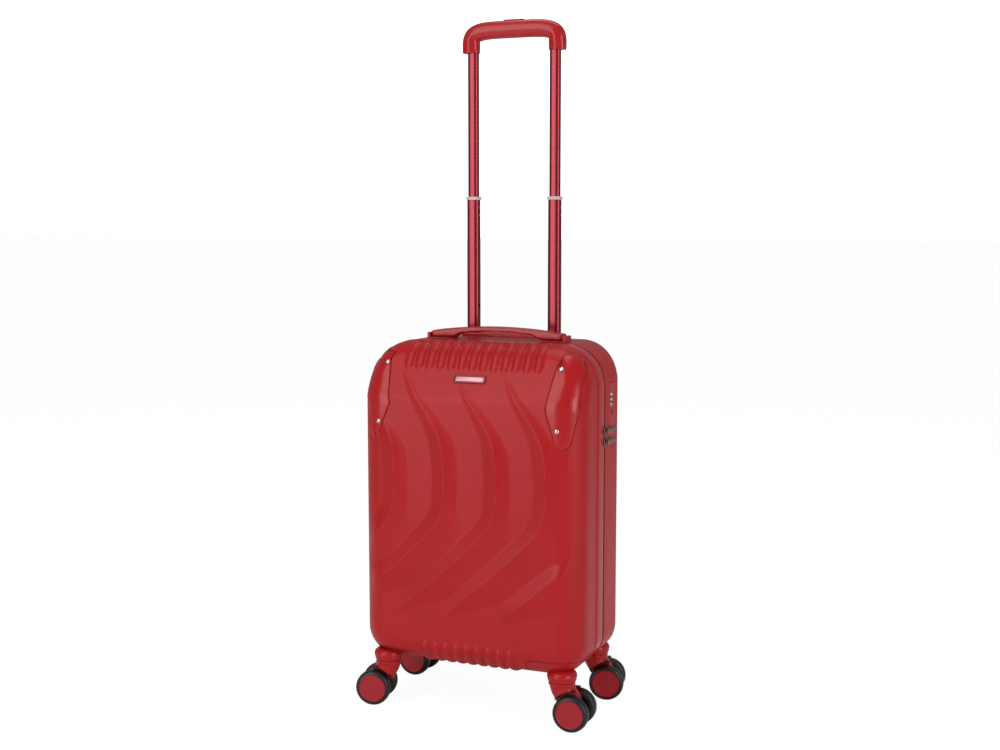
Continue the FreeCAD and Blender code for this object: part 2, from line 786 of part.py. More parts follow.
def dial_x():
    return side_x + lock_face_rise + dial_rise - dial_radius


def dial_z(number):
    return first_dial_z - number * dial_pitch


def lock_body():
    face_x = side_x + lock_face_rise
    body = lock_block(-0.2, face_x - lock_depth, face_x)
    for number in range(3):
        slot = Part.makeCylinder(dial_radius + dial_clearance, dial_width + 2 * dial_clearance,
                                 vector(dial_x(), dial_y, dial_z(number) - dial_width / 2 - dial_clearance))
        body = body.cut(slot)
    pin_low = dial_z(2) - dial_width
    pin_height = 2 * dial_pitch + 2 * dial_width
    pin = Part.makeCylinder(dial_pin_radius, pin_height, vector(dial_x(), dial_y, pin_low))
    body = body.fuse(pin).removeSplitter()
    hole_depth = lock_button_length + lock_button_travel + 0.5
    button_hole = Part.makeCylinder(lock_button_radius + 0.15, hole_depth,
                                    vector(face_x + lock_button_rise - hole_depth, lock_y, lock_button_z),
                                    vector(1, 0, 0))
    return body.cut(button_hole)


def dial(number):
    """Number wheel with a shallow finger groove between its figures."""
    z0 = dial_z(number) - dial_width / 2
    wheel = Part.makeCylinder(dial_radius, dial_width, vector(dial_x(), dial_y, z0))
    bore = Part.makeCylinder(dial_pin_radius + running_clearance, dial_width + 2,
                             vector(dial_x(), dial_y, z0 - 1))
    wheel = wheel.cut(bore)
    groove_place = dial_radius + dial_groove_radius / 2
    for step in range(dial_grooves):
        angle = 2 * math.pi * (step + 0.5) / dial_grooves
        groove = Part.makeCylinder(dial_groove_radius, dial_width + 2,
                                   vector(dial_x() + groove_place * math.cos(angle),
                                          dial_y + groove_place * math.sin(angle), z0 - 1))
        wheel = wheel.cut(groove)
    return wheel


def lock_button():
    face_x = side_x + lock_face_rise
    return Part.makeCylinder(lock_button_radius, lock_button_length,
                             vector(face_x + lock_button_rise - lock_button_length, lock_y, lock_button_z),
                             vector(1, 0, 0))


def zip_slider(z):
    """Slider plate over the groove, with two lugs and the pull tab's pin."""
    x0 = side_x + slider_gap
    pin_x = x0 + pull_pin_rise
    half = slider_width / 2
    tab_space = pull_width / 2 + slider_tab_gap
    body = box(x0, x0 + slider_plate, zip_line_y - half, zip_line_y + half,
               z - slider_length / 2, z + slider_length / 2)
    for end in (-1, 1):
        low = z + end * tab_space - (slider_lug if end < 0 else 0)
        lug = box(x0, pin_x + pull_pin_radius + slider_lug_wall,
                  zip_line_y - slider_lug_half, zip_line_y + slider_lug_half,
                  low, low + slider_lug)
        body = body.fuse(lug)
    pin = Part.makeCylinder(pull_pin_radius, 2 * tab_space + slider_lug,
                            vector(pin_x, zip_line_y, z - tab_space - slider_lug / 2))
    return body.fuse(pin).removeSplitter()


def pull_tab(z):
    """Tab whose ring turns on the slider's pin; it points to the lock."""
    pin_x = side_x + slider_gap + pull_pin_rise
    half = pull_width / 2
    ring = Part.makeCylinder(pull_ring_radius, pull_width, vector(pin_x, zip_line_y, z - half))
    plate = box(pin_x - pull_thickness / 2, pin_x + pull_thickness / 2, zip_line_y, zip_line_y + pull_length,
                z - half, z + half)
    body = ring.fuse(plate).removeSplitter()
    bore = Part.makeCylinder(pull_pin_radius + running_clearance, pull_width + 2,
                             vector(pin_x, zip_line_y, z - half - 1))
    hole_start = vector(pin_x - 2 * pull_thickness, zip_line_y + pull_length - pull_hole_inset, z)
    hole = Part.makeCylinder(pull_hole_radius, 4 * pull_thickness, hole_start, vector(1, 0, 0))
    return body.cut(bore).cut(hole)


def packing_straps():
    """Crossed elastic straps that meet in a buckle, lying on the lining's floor."""
    back = floor_y - strap_floor_gap
    centre_z = (case_bottom + case_top) / 2
    length = math.hypot(strap_reach_x, strap_reach_z)
    slope = math.degrees(math.atan2(strap_reach_z, strap_reach_x))
    inner = buckle_height / 2
    pieces = []
    for turn in (slope, 180 - slope, 180 + slope, -slope):
        strap = box(inner + 6, length, back - strap_thickness, back, -strap_width / 2, strap_width / 2)
        strap.rotate(vector(0, 0, 0), vector(0, 1, 0), -turn)
        strap.translate(vector(0, 0, centre_z))
        pieces.append(strap)
    half_w = buckle_width / 2
    half_h = buckle_height / 2
    radius = buckle_corner_radius
    corners = [(-half_w, centre_z - half_h, radius), (half_w, centre_z - half_h, radius),
               (half_w, centre_z + half_h, radius), (-half_w, centre_z + half_h, radius)]
    face = rounded_face(corners, in_xz)
    face.translate(vector(0, back - buckle_thickness, 0))
    body = face.extrude(vector(0, buckle_thickness, 0))
    for strap in pieces:
        body = body.fuse(strap)
    return body.removeSplitter()


def write(name, shape):
    shape.exportStep(os.path.join("parts", name + ".step"))
    solids = len(shape.Solids)
    volume = shape.Volume / 1000
    print("%-26s solids %d  volume %8.1f cm3  valid %s" % (name, solids, volume, shape.isValid()))


def main():
    os.makedirs("parts", exist_ok=True)
    write("front_shell", front_shell())
    write("front_trim_band", front_trim_band())
    write("front_zip", front_zip())
    write("front_lining", front_lining())
    write("corner_guards", group([corner_guard(-1), corner_guard(1)]))
    write("corner_guard_screws", group(guard_screws()))
    write("badge_plate", badge_plate())
    write("rear_shell", rear_shell())
    write("rear_zip", rear_zip())
    write("hinge_strip", hinge_strip())
    write("rear_lining", rear_lining())
    write("packing_straps", packing_straps())
    write("front_wheel_housings", group([wheel_housing(-1, -1), wheel_housing(1, -1)]))
    write("rear_wheel_housings", group([wheel_housing(-1, 1), wheel_housing(1, 1)]))
    write("fixed_tubes", pair(fixed_tube))
    write("handle_base", handle_base())
    write("handle_bezel", handle_bezel())
    write("middle_tubes", pair(middle_tube))
    write("tube_collars", pair(tube_collar))
    write("upper_tubes", pair(upper_tube))
    write("grip", grip())
    write("release_button", release_button())
    write("push_rods", push_rods())
    write("left_lock_pin", lock_pin(-1))
    write("right_lock_pin", lock_pin(1))
    write("carry_handle", carry_handle())
    write("carry_handle_brackets", pair(carry_bracket))
    write("lock_body", lock_body())
    for number in range(3):
        write("lock_dial_%d" % (number + 1), dial(number))
    write("lock_button", lock_button())
    for name, z in zip(("upper", "lower"), slider_z):
        write(name + "_zip_slider", zip_slider(z))
        write(name + "_pull_tab", pull_tab(z))
    fork_shape = fork()
    for corner in swivel_turns:
        end = 1 if "rear" in corner else -1
        side = 1 if "right" in corner else -1
        # Turning a left caster by half a turn swaps its wheels, so its outboard wheel is on the other end.
        outboard = end * side
        write(corner + "_fork", place_caster(fork_shape, corner))
        write(corner + "_axle", place_caster(axle(), corner))
        for place, direction in (("outboard", outboard), ("inboard", -outboard)):
            write("%s_%s_tyre" % (corner, place), place_caster(tyre(direction), corner))
            write("%s_%s_hub" % (corner, place), place_caster(hub(direction), corner))


main()
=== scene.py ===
# %% [markdown]
# A hard shell suitcase on wheels, as a lesson in building looks round a fixed frame.
# The engineering model gives every place and size. The script loads it first, and each piece
# made later is set against its boxes and joints, in metres, in the same axes: +Z is up, the
# front shell faces -Y and the lock is on +X.

# %% Load the frame
import json
import math

import bmesh
import bpy
import numpy as np
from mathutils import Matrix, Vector


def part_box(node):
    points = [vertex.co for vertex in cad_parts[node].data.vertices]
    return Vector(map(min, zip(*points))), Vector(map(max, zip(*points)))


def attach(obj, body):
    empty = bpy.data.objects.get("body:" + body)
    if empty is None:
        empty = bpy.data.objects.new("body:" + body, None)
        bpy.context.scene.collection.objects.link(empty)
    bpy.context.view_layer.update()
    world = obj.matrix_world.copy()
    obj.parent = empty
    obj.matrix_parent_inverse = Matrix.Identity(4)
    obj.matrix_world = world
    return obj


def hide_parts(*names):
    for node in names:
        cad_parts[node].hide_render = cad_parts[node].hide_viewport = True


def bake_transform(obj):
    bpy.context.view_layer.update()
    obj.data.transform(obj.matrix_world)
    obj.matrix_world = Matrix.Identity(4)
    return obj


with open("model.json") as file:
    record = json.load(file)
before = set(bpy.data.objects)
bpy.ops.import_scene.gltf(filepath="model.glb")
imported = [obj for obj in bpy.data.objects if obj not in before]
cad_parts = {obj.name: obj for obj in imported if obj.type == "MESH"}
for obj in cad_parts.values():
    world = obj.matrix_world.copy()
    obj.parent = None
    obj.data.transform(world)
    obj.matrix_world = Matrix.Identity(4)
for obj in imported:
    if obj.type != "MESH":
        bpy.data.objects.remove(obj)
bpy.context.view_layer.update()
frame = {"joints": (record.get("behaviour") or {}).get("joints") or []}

# %% [markdown]
# Shapes below are worked out in millimetres, because the real part is. One factor turns them
# into metres when a mesh is made. The main sizes are read from the boxes of the shells, so the
# looks follow the engineering model if that changes.

# %% Sizes read from the frame
MM = 0.001
WELD = 0.012  # points closer than this, in millimetres, become one


def box_mm(node):
    """Lowest and highest corner of a frame node, in millimetres."""
    low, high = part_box(node)
    return np.array(low) / MM, np.array(high) / MM


front_low, front_high = box_mm("front_shell")
rear_low, rear_high = box_mm("rear_shell")
SIDE = front_high[0]
TOP = front_high[2]
BOTTOM = front_low[2]
FRONT = front_low[1]
FRONT_RIM = front_high[1]
REAR = rear_high[1]
REAR_RIM = rear_low[1]
joints = {joint["name"]: joint for joint in frame["joints"]}


def joint_mm(name):
    """Where a joint sits, in millimetres."""
    return np.array(joints[name]["pos_m"]) / MM


print("case", SIDE * 2, "by", REAR - FRONT, "by", TOP - BOTTOM, "mm, from z", BOTTOM)

# %% [markdown]
# A piece is a surface: a function of two parameters gives a grid of points, and each cell of
# the grid becomes a face. The small class below gathers grids and caps, and one function turns
# them into a mesh with its doubles merged and its faces pointing out.

# %% Surfaces and pieces


class Surface:
    """Points and faces gathered from grids, in millimetres."""

    def __init__(self):
        self.points = []
        self.faces = []
        self.count = 0

    def add(self, points):
        """Take in an array of points and give back their numbers in the same layout."""
        points = np.asarray(points, float)
        numbers = self.count + np.arange(points[..., 0].size).reshape(points.shape[:-1])
        self.points.append(points.reshape(-1, 3))
        self.count += numbers.size
        return numbers

    def cells(self, numbers, wrap_u=False, wrap_v=False):
        """Four-cornered faces between neighbours of a grid; a wrapped side joins its ends."""
        if wrap_u:
            numbers = np.vstack([numbers, numbers[:1]])
        if wrap_v:
            numbers = np.hstack([numbers, numbers[:, :1]])
        quads = [numbers[:-1, :-1], numbers[1:, :-1], numbers[1:, 1:], numbers[:-1, 1:]]
        self.faces.append(np.stack(quads, axis=-1).reshape(-1, 4))

    def cap(self, ring):
        """One flat face over a ring of points."""
        self.faces.append(np.asarray(ring).reshape(1, -1))

    def closed_loft(self, points):
        """Rings stacked along the first axis, with a flat face at each end."""
        numbers = self.add(points)
        self.cells(numbers, wrap_v=True)
        self.cap(numbers[0])
        self.cap(numbers[-1])
        return self

    def ring_loft(self, points):
        """Rings stacked along the first axis whose last joins the first again."""
        self.cells(self.add(points), wrap_u=True, wrap_v=True)
        return self


def make_mesh(name, surface):
    """Fill a mesh from whole arrays, merge what coincides and point the faces outwards."""
    points = np.concatenate(surface.points) * MM
    sizes = np.concatenate([np.full(len(f), f.shape[1]) for f in surface.faces])
    corners = np.concatenate([f.reshape(-1) for f in surface.faces])
    starts = np.concatenate([[0], np.cumsum(sizes)[:-1]])
    mesh = bpy.data.meshes.new(name)
    mesh.vertices.add(len(points))
    mesh.vertices.foreach_set("co", points.ravel())
    mesh.loops.add(len(corners))
    mesh.loops.foreach_set("vertex_index", corners.astype(np.int32))
    mesh.polygons.add(len(sizes))
    mesh.polygons.foreach_set("loop_start", starts.astype(np.int32))
    mesh.update(calc_edges=True)
    mesh.validate()
    work = bmesh.new()
    work.from_mesh(mesh)
    bmesh.ops.remove_doubles(work, verts=work.verts, dist=WELD * MM)
    bmesh.ops.recalc_face_normals(work, faces=work.faces)
    work.to_mesh(mesh)
    work.free()
    return mesh


def make_object(name, surface):
    piece = bpy.data.objects.new(name, make_mesh(name, surface))
    bpy.context.scene.collection.objects.link(piece)
    return piece


def carve(piece, tools, operation="DIFFERENCE"):
    """Cut, join or keep the common part with each tool, and leave the result in the mesh."""
    for tool in tools:
        change = piece.modifiers.new("carve", "BOOLEAN")
        change.operation = operation
        change.solver = "MANIFOLD"
        change.object = tool
        bpy.context.view_layer.update()
        graph = bpy.context.evaluated_depsgraph_get()
        result = bpy.data.meshes.new_from_object(piece.evaluated_get(graph))
        piece.modifiers.clear()
        piece.data = result
    for tool in tools:
        bpy.data.objects.remove(tool)
    return piece


def finish_piece(piece, finish, body, stands_for=(), sharp=32.0):
    """Shade it smooth up to an angle, give it its finish and let it ride its body."""
    mesh = piece.data
    mesh.polygons.foreach_set("use_smooth", np.ones(len(mesh.polygons), bool))
    mesh.set_sharp_from_angle(angle=math.radians(sharp))
    mesh.materials.clear()
    mesh.materials.append(finish)
    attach(piece, body)
    if stands_for:
        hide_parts(*stands_for)
    print("made", piece.name, len(mesh.polygons), "faces")
    return piece


# %% [markdown]
# Round parts are turned, as on a lathe: a profile of (radius, height) runs round an axis. Flat
# moulded parts are slabs: an outline of straight sides joined by arcs is stepped inwards and
# upwards, which rounds its edges. Both are a ring of points repeated along a profile.

# %% Lathe and slab


def circle(count):
    turn = np.arange(count) * (2 * np.pi / count)
    return np.cos(turn), np.sin(turn)


def turned(profile, count=48):
    """Points[profile, turn]: radius times (cos, sin) round local Z, at each profile height."""
    radius, height = np.asarray(profile, float).T
    c, s = circle(count)
    rise = np.repeat(height[:, None], count, axis=1)
    return np.stack([radius[:, None] * c, radius[:, None] * s, rise], axis=-1)


def rounded_outline(corners, steps=6):
    """Points along straight sides joined by tangent arcs; each corner is (u, v, radius)."""
    corners = np.asarray(corners, float)
    place = corners[:, :2]
    back = np.roll(place, 1, axis=0) - place
    ahead = np.roll(place, -1, axis=0) - place
    back /= np.linalg.norm(back, axis=1)[:, None]
    ahead /= np.linalg.norm(ahead, axis=1)[:, None]
    half = np.arccos(np.clip((back * ahead).sum(1), -1, 1)) / 2
    radius = np.maximum(corners[:, 2], 0.01)
    middle = back + ahead
    middle /= np.linalg.norm(middle, axis=1)[:, None]
    centre = place + middle * (radius / np.sin(half))[:, None]
    sweep = np.linspace(-1, 1, steps)[None, :] * (np.pi / 2 - half)[:, None]
    side = np.sign(back[:, 0] * ahead[:, 1] - back[:, 1] * ahead[:, 0])
    turn = sweep * side[:, None]
    c, s = np.cos(turn), np.sin(turn)
    spoke = -middle * radius[:, None]
    x = centre[:, :1] + c * spoke[:, :1] - s * spoke[:, 1:]
    y = centre[:, 1:] + s * spoke[:, :1] + c * spoke[:, 1:]
    points = np.stack([x, y], axis=-1)
    return points[:, ::-1].reshape(-1, 2) if (side < 0).sum() > len(side) / 2 else points.reshape(-1, 2)


def outward(points):
    """Unit direction out of a closed outline at each point, from the points on both sides."""
    along = np.roll(points, -1, axis=0) - np.roll(points, 1, axis=0)
    along /= np.maximum(np.linalg.norm(along, axis=1), 1e-9)[:, None]
    normal = np.stack([along[:, 1], -along[:, 0]], axis=1)
    area = (points[:, 0] * np.roll(points[:, 1], -1) - np.roll(points[:, 0], -1) * points[:, 1]).sum()
    return normal if area > 0 else -normal


def slab(outline, steps):
    """Points[step, outline]: the outline moved in by each step's inset and set at its height."""
    inset, height = np.asarray(steps, float).T
    flat = outline[None] - outward(outline)[None] * inset[:, None, None]
    rise = np.repeat(height[:, None], len(outline), axis=1)
    return np.concatenate([flat, rise[..., None]], axis=-1)


def soft_edge(low, high, radius, steps=4):
    """Steps for a slab from low to high whose two rims are rounded to a radius."""
    turn = np.linspace(0, np.pi / 2, steps)
    inset = radius * (1 - np.sin(turn))
    lower = np.stack([inset, low + radius * (1 - np.cos(turn))], axis=1)
    upper = np.stack([inset[::-1], high - radius * (1 - np.cos(turn[::-1]))], axis=1)
    return np.concatenate([lower, upper])


def placed(points, origin, across, up, out):
    """Local (u, v, w) points moved to origin + u across + v up + w out."""
    axes = np.array([across, up, out], float)
    return np.asarray(points) @ axes + np.asarray(origin, float)


def rectangle(width, height, radius, centre=(0.0, 0.0), steps=6):
    w, h = width / 2, height / 2
    u, v = centre
    return rounded_outline([(u - w, v - h, radius), (u + w, v - h, radius),
                            (u + w, v + h, radius), (u - w, v + h, radius)], steps)


X_AXIS, Y_AXIS, Z_AXIS = np.eye(3)
IN_FRONT_VIEW = (X_AXIS, Z_AXIS, -Y_AXIS)
IN_SIDE_VIEW = (Y_AXIS, Z_AXIS, X_AXIS)
IN_PLAN = (X_AXIS, Y_AXIS, Z_AXIS)


def slab_piece(name, outline, steps, view):
    """An object that is one slab, with its outline drawn in one of the three views."""
    return make_object(name, Surface().closed_loft(placed(slab(outline, steps), (0, 0, 0), *view)))


print("helpers ready")

# %% [markdown]
# The finishes come next. Shader maths reads best as sums and products, so one small class wraps
# a socket and lets Python's own signs add the Math nodes. Every other node comes from one
# method that takes its kind, its settings and its inputs.

# %% Shader helper


class Signal:
    """A socket that can be added, multiplied and compared as if it were a number."""

    def __init__(self, finish, socket):
        self.finish = finish
        self.socket = socket

    def maths(self, operation, *others):
        values = {0: self} | dict(enumerate(others, start=1))
        return self.finish.node("Math", values, operation=operation)

    def __add__(self, other):
        return self.maths("ADD", other)

    def __mul__(self, other):
        return self.maths("MULTIPLY", other)

    def __rsub__(self, other):
        return self.maths("MULTIPLY", -1.0).maths("ADD", other)

    def sine(self):
        return self.maths("SINE")

    def power(self, exponent):
        return self.maths("POWER", exponent)

    def above(self, level):
        return self.maths("GREATER_THAN", level)

    def clamped(self):
        return self.maths("MAXIMUM", 0.0).maths("MINIMUM", 1.0)


class Finish:
    """A material with its Principled shader, built node by node."""

    def __init__(self, name, **constants):
        self.material = bpy.data.materials.new(name)
        self.material.use_nodes = True
        self.tree = self.material.node_tree
        self.shader = self.tree.nodes["Principled BSDF"]
        for socket, value in constants.items():
            self.set(socket.replace("_", " "), value)

    def link(self, value, socket):
        if isinstance(value, Signal):
            self.tree.links.new(value.socket, socket)
        else:
            socket.default_value = value

    def set(self, socket, value):
        self.link(value, self.shader.inputs[socket])
        return self

    def node(self, kind, values=None, out=0, **settings):
        node = self.tree.nodes.new("ShaderNode" + kind)
        for setting, value in settings.items():
            setattr(node, setting, value)
        for socket, value in (values or {}).items():
            self.link(value, node.inputs[socket])
        return Signal(self, node.outputs[out])

    def place(self):
        """Object coordinates, in metres in the frame's own axes."""
        return self.node("TexCoord", out="Object")

    def axes(self):
        split = self.tree.nodes.new("ShaderNodeSeparateXYZ")
        self.link(self.place(), split.inputs[0])
        return [Signal(self, split.outputs[i]) for i in range(3)]

    def noise(self, scale, detail=2.0, where=None):
        values = {"Vector": where or self.place(), "Scale": scale, "Detail": detail}
        return self.node("TexNoise", values, out="Fac")

    def stretched(self, x, y, z):
        """The place with each axis scaled, so a noise on it runs in streaks."""
        return self.node("Mapping", {"Vector": self.place(), "Scale": (x, y, z)})

    def mixed(self, mask, low, high):
        return self.node("Mix", {0: mask, 6: low, 7: high}, out=2, data_type="RGBA")

    def bump(self, height, strength, depth):
        values = {"Height": height, "Strength": strength, "Distance": depth}
        self.set("Normal", self.node("Bump", values))
        return self


def rgb(red, green, blue):
    """Screen values from 0 to 255 as the linear colour the shader needs."""
    value = np.array([red, green, blue]) / 255
    linear = np.where(value > 0.04045, ((value + 0.055) / 1.055) ** 2.4, value / 12.92)
    return (*linear.tolist(), 1.0)


def plain_variation(finish, colour, other, scale, rough, spread):
    """Slow change of colour and gloss over a surface, as handling and moulding leave it."""
    cloud = finish.noise(scale, 4.0)
    finish.set("Base Color", finish.mixed(cloud, colour, other))
    finish.set("Roughness", cloud * spread + (rough - spread / 2))
    return finish


# %% [markdown]
# The shells are thermoformed red plastic with a fine lined grain pressed in, which is what
# turns the reflections silky. The lines stand upright all round, so the height is a sine of
# X plus Y. Trim, guards, wheel mouldings and grip are injection moulded in the same red:
# the trim is smooth and bright, the others carry a finer spark-eroded grain.

# %% Red plastics
RED = rgb(170, 18, 24)
RED_DEEP = rgb(158, 14, 19)
LINE_PITCH = 2.3 * MM


def lined_red():
    finish = Finish("shell_lined_red", Specular_IOR_Level=0.24, Coat_Roughness=0.22)
    x, y, z = finish.axes()
    lines = ((x + y) * (2 * math.pi / LINE_PITCH)).sine()
    grain = finish.noise(2200.0, 2.0)
    plain_variation(finish, RED, RED_DEEP, 9.0, 0.36, 0.08)
    finish.set("Coat Weight", 0.05)
    return finish.bump(lines * 0.5 + grain * grain * 0.6, 0.75, 0.1 * MM).material


def moulded_red(name, rough, coat, grain_size, strength, tint=RED, tint_two=RED_DEEP):
    finish = Finish(name, Specular_IOR_Level=0.24, Coat_Roughness=0.12, Coat_Weight=coat)
    plain_variation(finish, tint, tint_two, 14.0, rough, 0.06)
    grain = finish.noise(grain_size, 3.0)
    return finish.bump(grain, strength, 0.04 * MM).material


shell_red = lined_red()
trim_red = moulded_red("trim_bright_red", 0.24, 0.2, 900.0, 0.03)
guard_red = moulded_red("guard_satin_red", 0.3, 0.2, 1500.0, 0.1)
moulding_red = moulded_red("moulding_satin_red", 0.38, 0.15, 1800.0, 0.16)
grip_red = moulded_red("grip_satin_red", 0.33, 0.3, 1600.0, 0.1)
cap_red = moulded_red("wheel_cap_red", 0.36, 0.2, 1700.0, 0.12, rgb(158, 28, 36), rgb(148, 22, 30))
lock_red = moulded_red("lock_panel_red", 0.34, 0.25, 1500.0, 0.08)
print("red finishes ready")

# %% [markdown]
# Metals: the tubes are drawn aluminium, dyed red, so they are metallic with faint streaks along
# their length. Screws and rivets are bright plate, badge and dials are rosy, and sliders and
# tabs are an uneven, darker nickel. A streak is a noise squeezed across two axes.

# %% Metals


def metal(name, colour, other, rough, streaks=(60.0, 60.0, 60.0), strength=0.05, coat=0.0):
    finish = Finish(name, Metallic=1.0, Coat_Weight=coat, Coat_Roughness=0.14)
    run = finish.noise(8.0, 5.0, finish.stretched(*streaks))
    finish.set("Base Color", finish.mixed(run, colour, other))
    finish.set("Roughness", run * 0.14 + (rough - 0.07))
    return finish.bump(run, strength, 0.02 * MM).material


tube_red = metal("tube_dyed_aluminium", rgb(140, 38, 48), rgb(126, 30, 40), 0.34,
                 (300.0, 300.0, 2.0), coat=0.4)
bright_metal = metal("screw_bright_plate", rgb(228, 228, 230), rgb(205, 205, 210), 0.16)
steel = metal("axle_steel", rgb(170, 172, 175), rgb(140, 142, 146), 0.3)
nickel = metal("slider_dark_nickel", rgb(176, 160, 140), rgb(96, 84, 72), 0.2, (90.0,) * 3, 0.1)
dial_silver = metal("dial_rosy_silver", rgb(226, 206, 208), rgb(196, 168, 172), 0.22)
rose_metal = metal("badge_rose_plate", rgb(150, 84, 88), rgb(112, 50, 54), 0.3)
rose_centre = metal("badge_centre_plate", rgb(206, 158, 160), rgb(176, 118, 120), 0.36)
print("metals ready")

# %% [markdown]
# Black parts and cloth: tyres are soft polyurethane with a rubbed sheen, the wheel cores are plain plastic,
# and zip tape, lining and straps are woven. A weave is two sets of ribs at right angles; the height is the
# larger where a coarse checker of sines says which is on top. The colour follows that height as well: painted
# shade in the hollows and a painted highlight on the raised threads.

# %% Rubber, plastics and cloth


def dark_moulding(name, colour, other, rough, grain, strength):
    finish = Finish(name)
    plain_variation(finish, colour, other, 40.0, rough, 0.12)
    return finish.bump(finish.noise(grain, 3.0), strength, 0.05 * MM).material


def woven(name, colour, other, pitch, across, along, rough=0.85):
    """Cloth whose warp and weft run along two of the frame's axes."""
    finish = Finish(name, Sheen_Weight=0.3, Sheen_Roughness=0.5)
    axes = finish.axes()
    warp = (axes[across] * (math.pi / pitch)).sine()
    weft = (axes[along] * (math.pi / pitch)).sine()
    over = (warp * weft).above(0.0)
    height = over * warp.power(2.0) + (1 - over) * weft.power(2.0)
    cloud = finish.noise(30.0, 4.0)
    # The colour follows the weave height: painted shade in the hollows between threads and a painted
    # highlight on the raised threads, mixed with a random cloud of tone.
    finish.set("Base Color", finish.mixed((height * 0.6 + cloud * 0.5).clamped(), colour, other))
    finish.set("Roughness", cloud * 0.1 + (rough - 0.05))
    return finish.bump(height, 0.5, 0.2 * MM).material


rubber = dark_moulding("tyre_black_rubber", rgb(8, 8, 8), rgb(16, 16, 16), 0.42, 1400.0, 0.15)
core_black = dark_moulding("wheel_core_black", rgb(8, 8, 9), rgb(14, 14, 15), 0.42, 1100.0, 0.12)
tape_black = woven("zip_tape_weave", rgb(20, 14, 15), rgb(38, 26, 28), 0.7 * MM, 1, 2)
lining_grey = woven("lining_weave", rgb(70, 72, 76), rgb(96, 98, 102), 0.9 * MM, 0, 2)
strap_black = woven("strap_webbing", rgb(28, 28, 30), rgb(52, 52, 55), 1.1 * MM, 0, 2)
print("dark finishes ready")

# %% [markdown]
# Both shells come from one idea: rings round the case. A ring is a rounded rectangle in the
# front view; moving it inwards while it moves towards the front face makes the rounded edge.
# At an inset of FLAT its corners have become square, so a plain grid fills what is left.

# %% Rings round the case
TOP_RADIUS = 62.0
BOTTOM_RADIUS = 45.0
FLAT = 46.0
SIDE_EDGE = 40.5
FRONT_TOP_EDGE = 19.0
FRONT_BOTTOM_EDGE = 36.0
REAR_TOP_EDGE = 20.0
REAR_BOTTOM_EDGE = 30.0
CREASE_Z = TOP - 76.0
LEAN = 43.0 / 76.0
CREASE_SOFTNESS = 4.0


def ring_side(length, start_radius, end_radius, share):
    """From one corner's middle to the next: half an arc, a straight run, half an arc."""
    first = np.pi / 4 * start_radius
    straight = length - start_radius - end_radius
    run = share * (first + straight + np.pi / 4 * end_radius)
    begin = np.pi / 4 - np.minimum(run, first) / start_radius
    finish = np.maximum(run - first - straight, 0) / end_radius
    middle = np.clip(run - first, 0, straight)
    along = start_radius * (1 - np.sin(begin)) + middle + end_radius * np.sin(finish)
    inwards = start_radius * (1 - np.cos(begin)) + end_radius * (1 - np.cos(finish))
    return along, inwards


def case_outline(inset, across, up):
    """Ring points (x, z) for each inset, with that many cells across and up each side."""
    inset = np.atleast_1d(np.asarray(inset, float))[:, None]
    shrink = np.maximum(1 - inset / FLAT, 1e-5)
    top, low = TOP_RADIUS * shrink, BOTTOM_RADIUS * shrink
    wide, tall = 2 * (SIDE - inset), TOP - BOTTOM - 2 * inset
    share_x, share_z = np.arange(across)[None] / across, np.arange(up)[None] / up
    a, b = ring_side(wide, low, low, share_x)
    bottom = np.stack([a - SIDE + inset, BOTTOM + inset + b], axis=-1)
    a, b = ring_side(tall, low, top, share_z)
    right = np.stack([SIDE - inset - b, BOTTOM + inset + a], axis=-1)
    a, b = ring_side(wide, top, top, share_x)
    upper = np.stack([SIDE - inset - a, TOP - inset - b], axis=-1)
    a, b = ring_side(tall, top, low, share_z)
    left = np.stack([inset - SIDE + b, TOP - inset - a], axis=-1)
    return np.concatenate([bottom, right, upper, left], axis=1)


def edge_radius(across, up, top_edge, bottom_edge):
    """Radius of the rounded rim at each ring point, from which way the outline faces."""
    facing = outward(case_outline(0.0, across, up)[0])
    ends = np.where(facing[:, 1] > 0, top_edge, bottom_edge)
    return SIDE_EDGE * facing[:, 0] ** 2 + ends * facing[:, 1] ** 2


def lean(z):
    """How far the front face has leaned back at a height: two straight lines, softly joined."""
    past = z - CREASE_Z
    return LEAN * (past + np.sqrt(past**2 + CREASE_SOFTNESS**2)) / 2


def rim_rise(inset, radius):
    """Quarter circle: how far behind the face the rim is at an inset from the outline."""
    reach = np.clip(1 - inset / radius, 0, 1)
    return radius * (1 - np.sqrt(1 - reach**2))


def front_depth(x_z, inset, radius):
    return FRONT + lean(x_z[..., 1]) + rim_rise(inset, radius)


def rear_depth(x_z, inset, radius):
    return REAR - rim_rise(inset, radius)


def ring_points(inset, y, across, up):
    """Points (x, y, z) of rings at each inset, at each depth."""
    flat = case_outline(inset, across, up)
    depth = np.broadcast_to(np.asarray(y, float).reshape(len(flat), -1), flat.shape[:2])
    return np.stack([flat[..., 0], depth, flat[..., 1]], axis=-1)


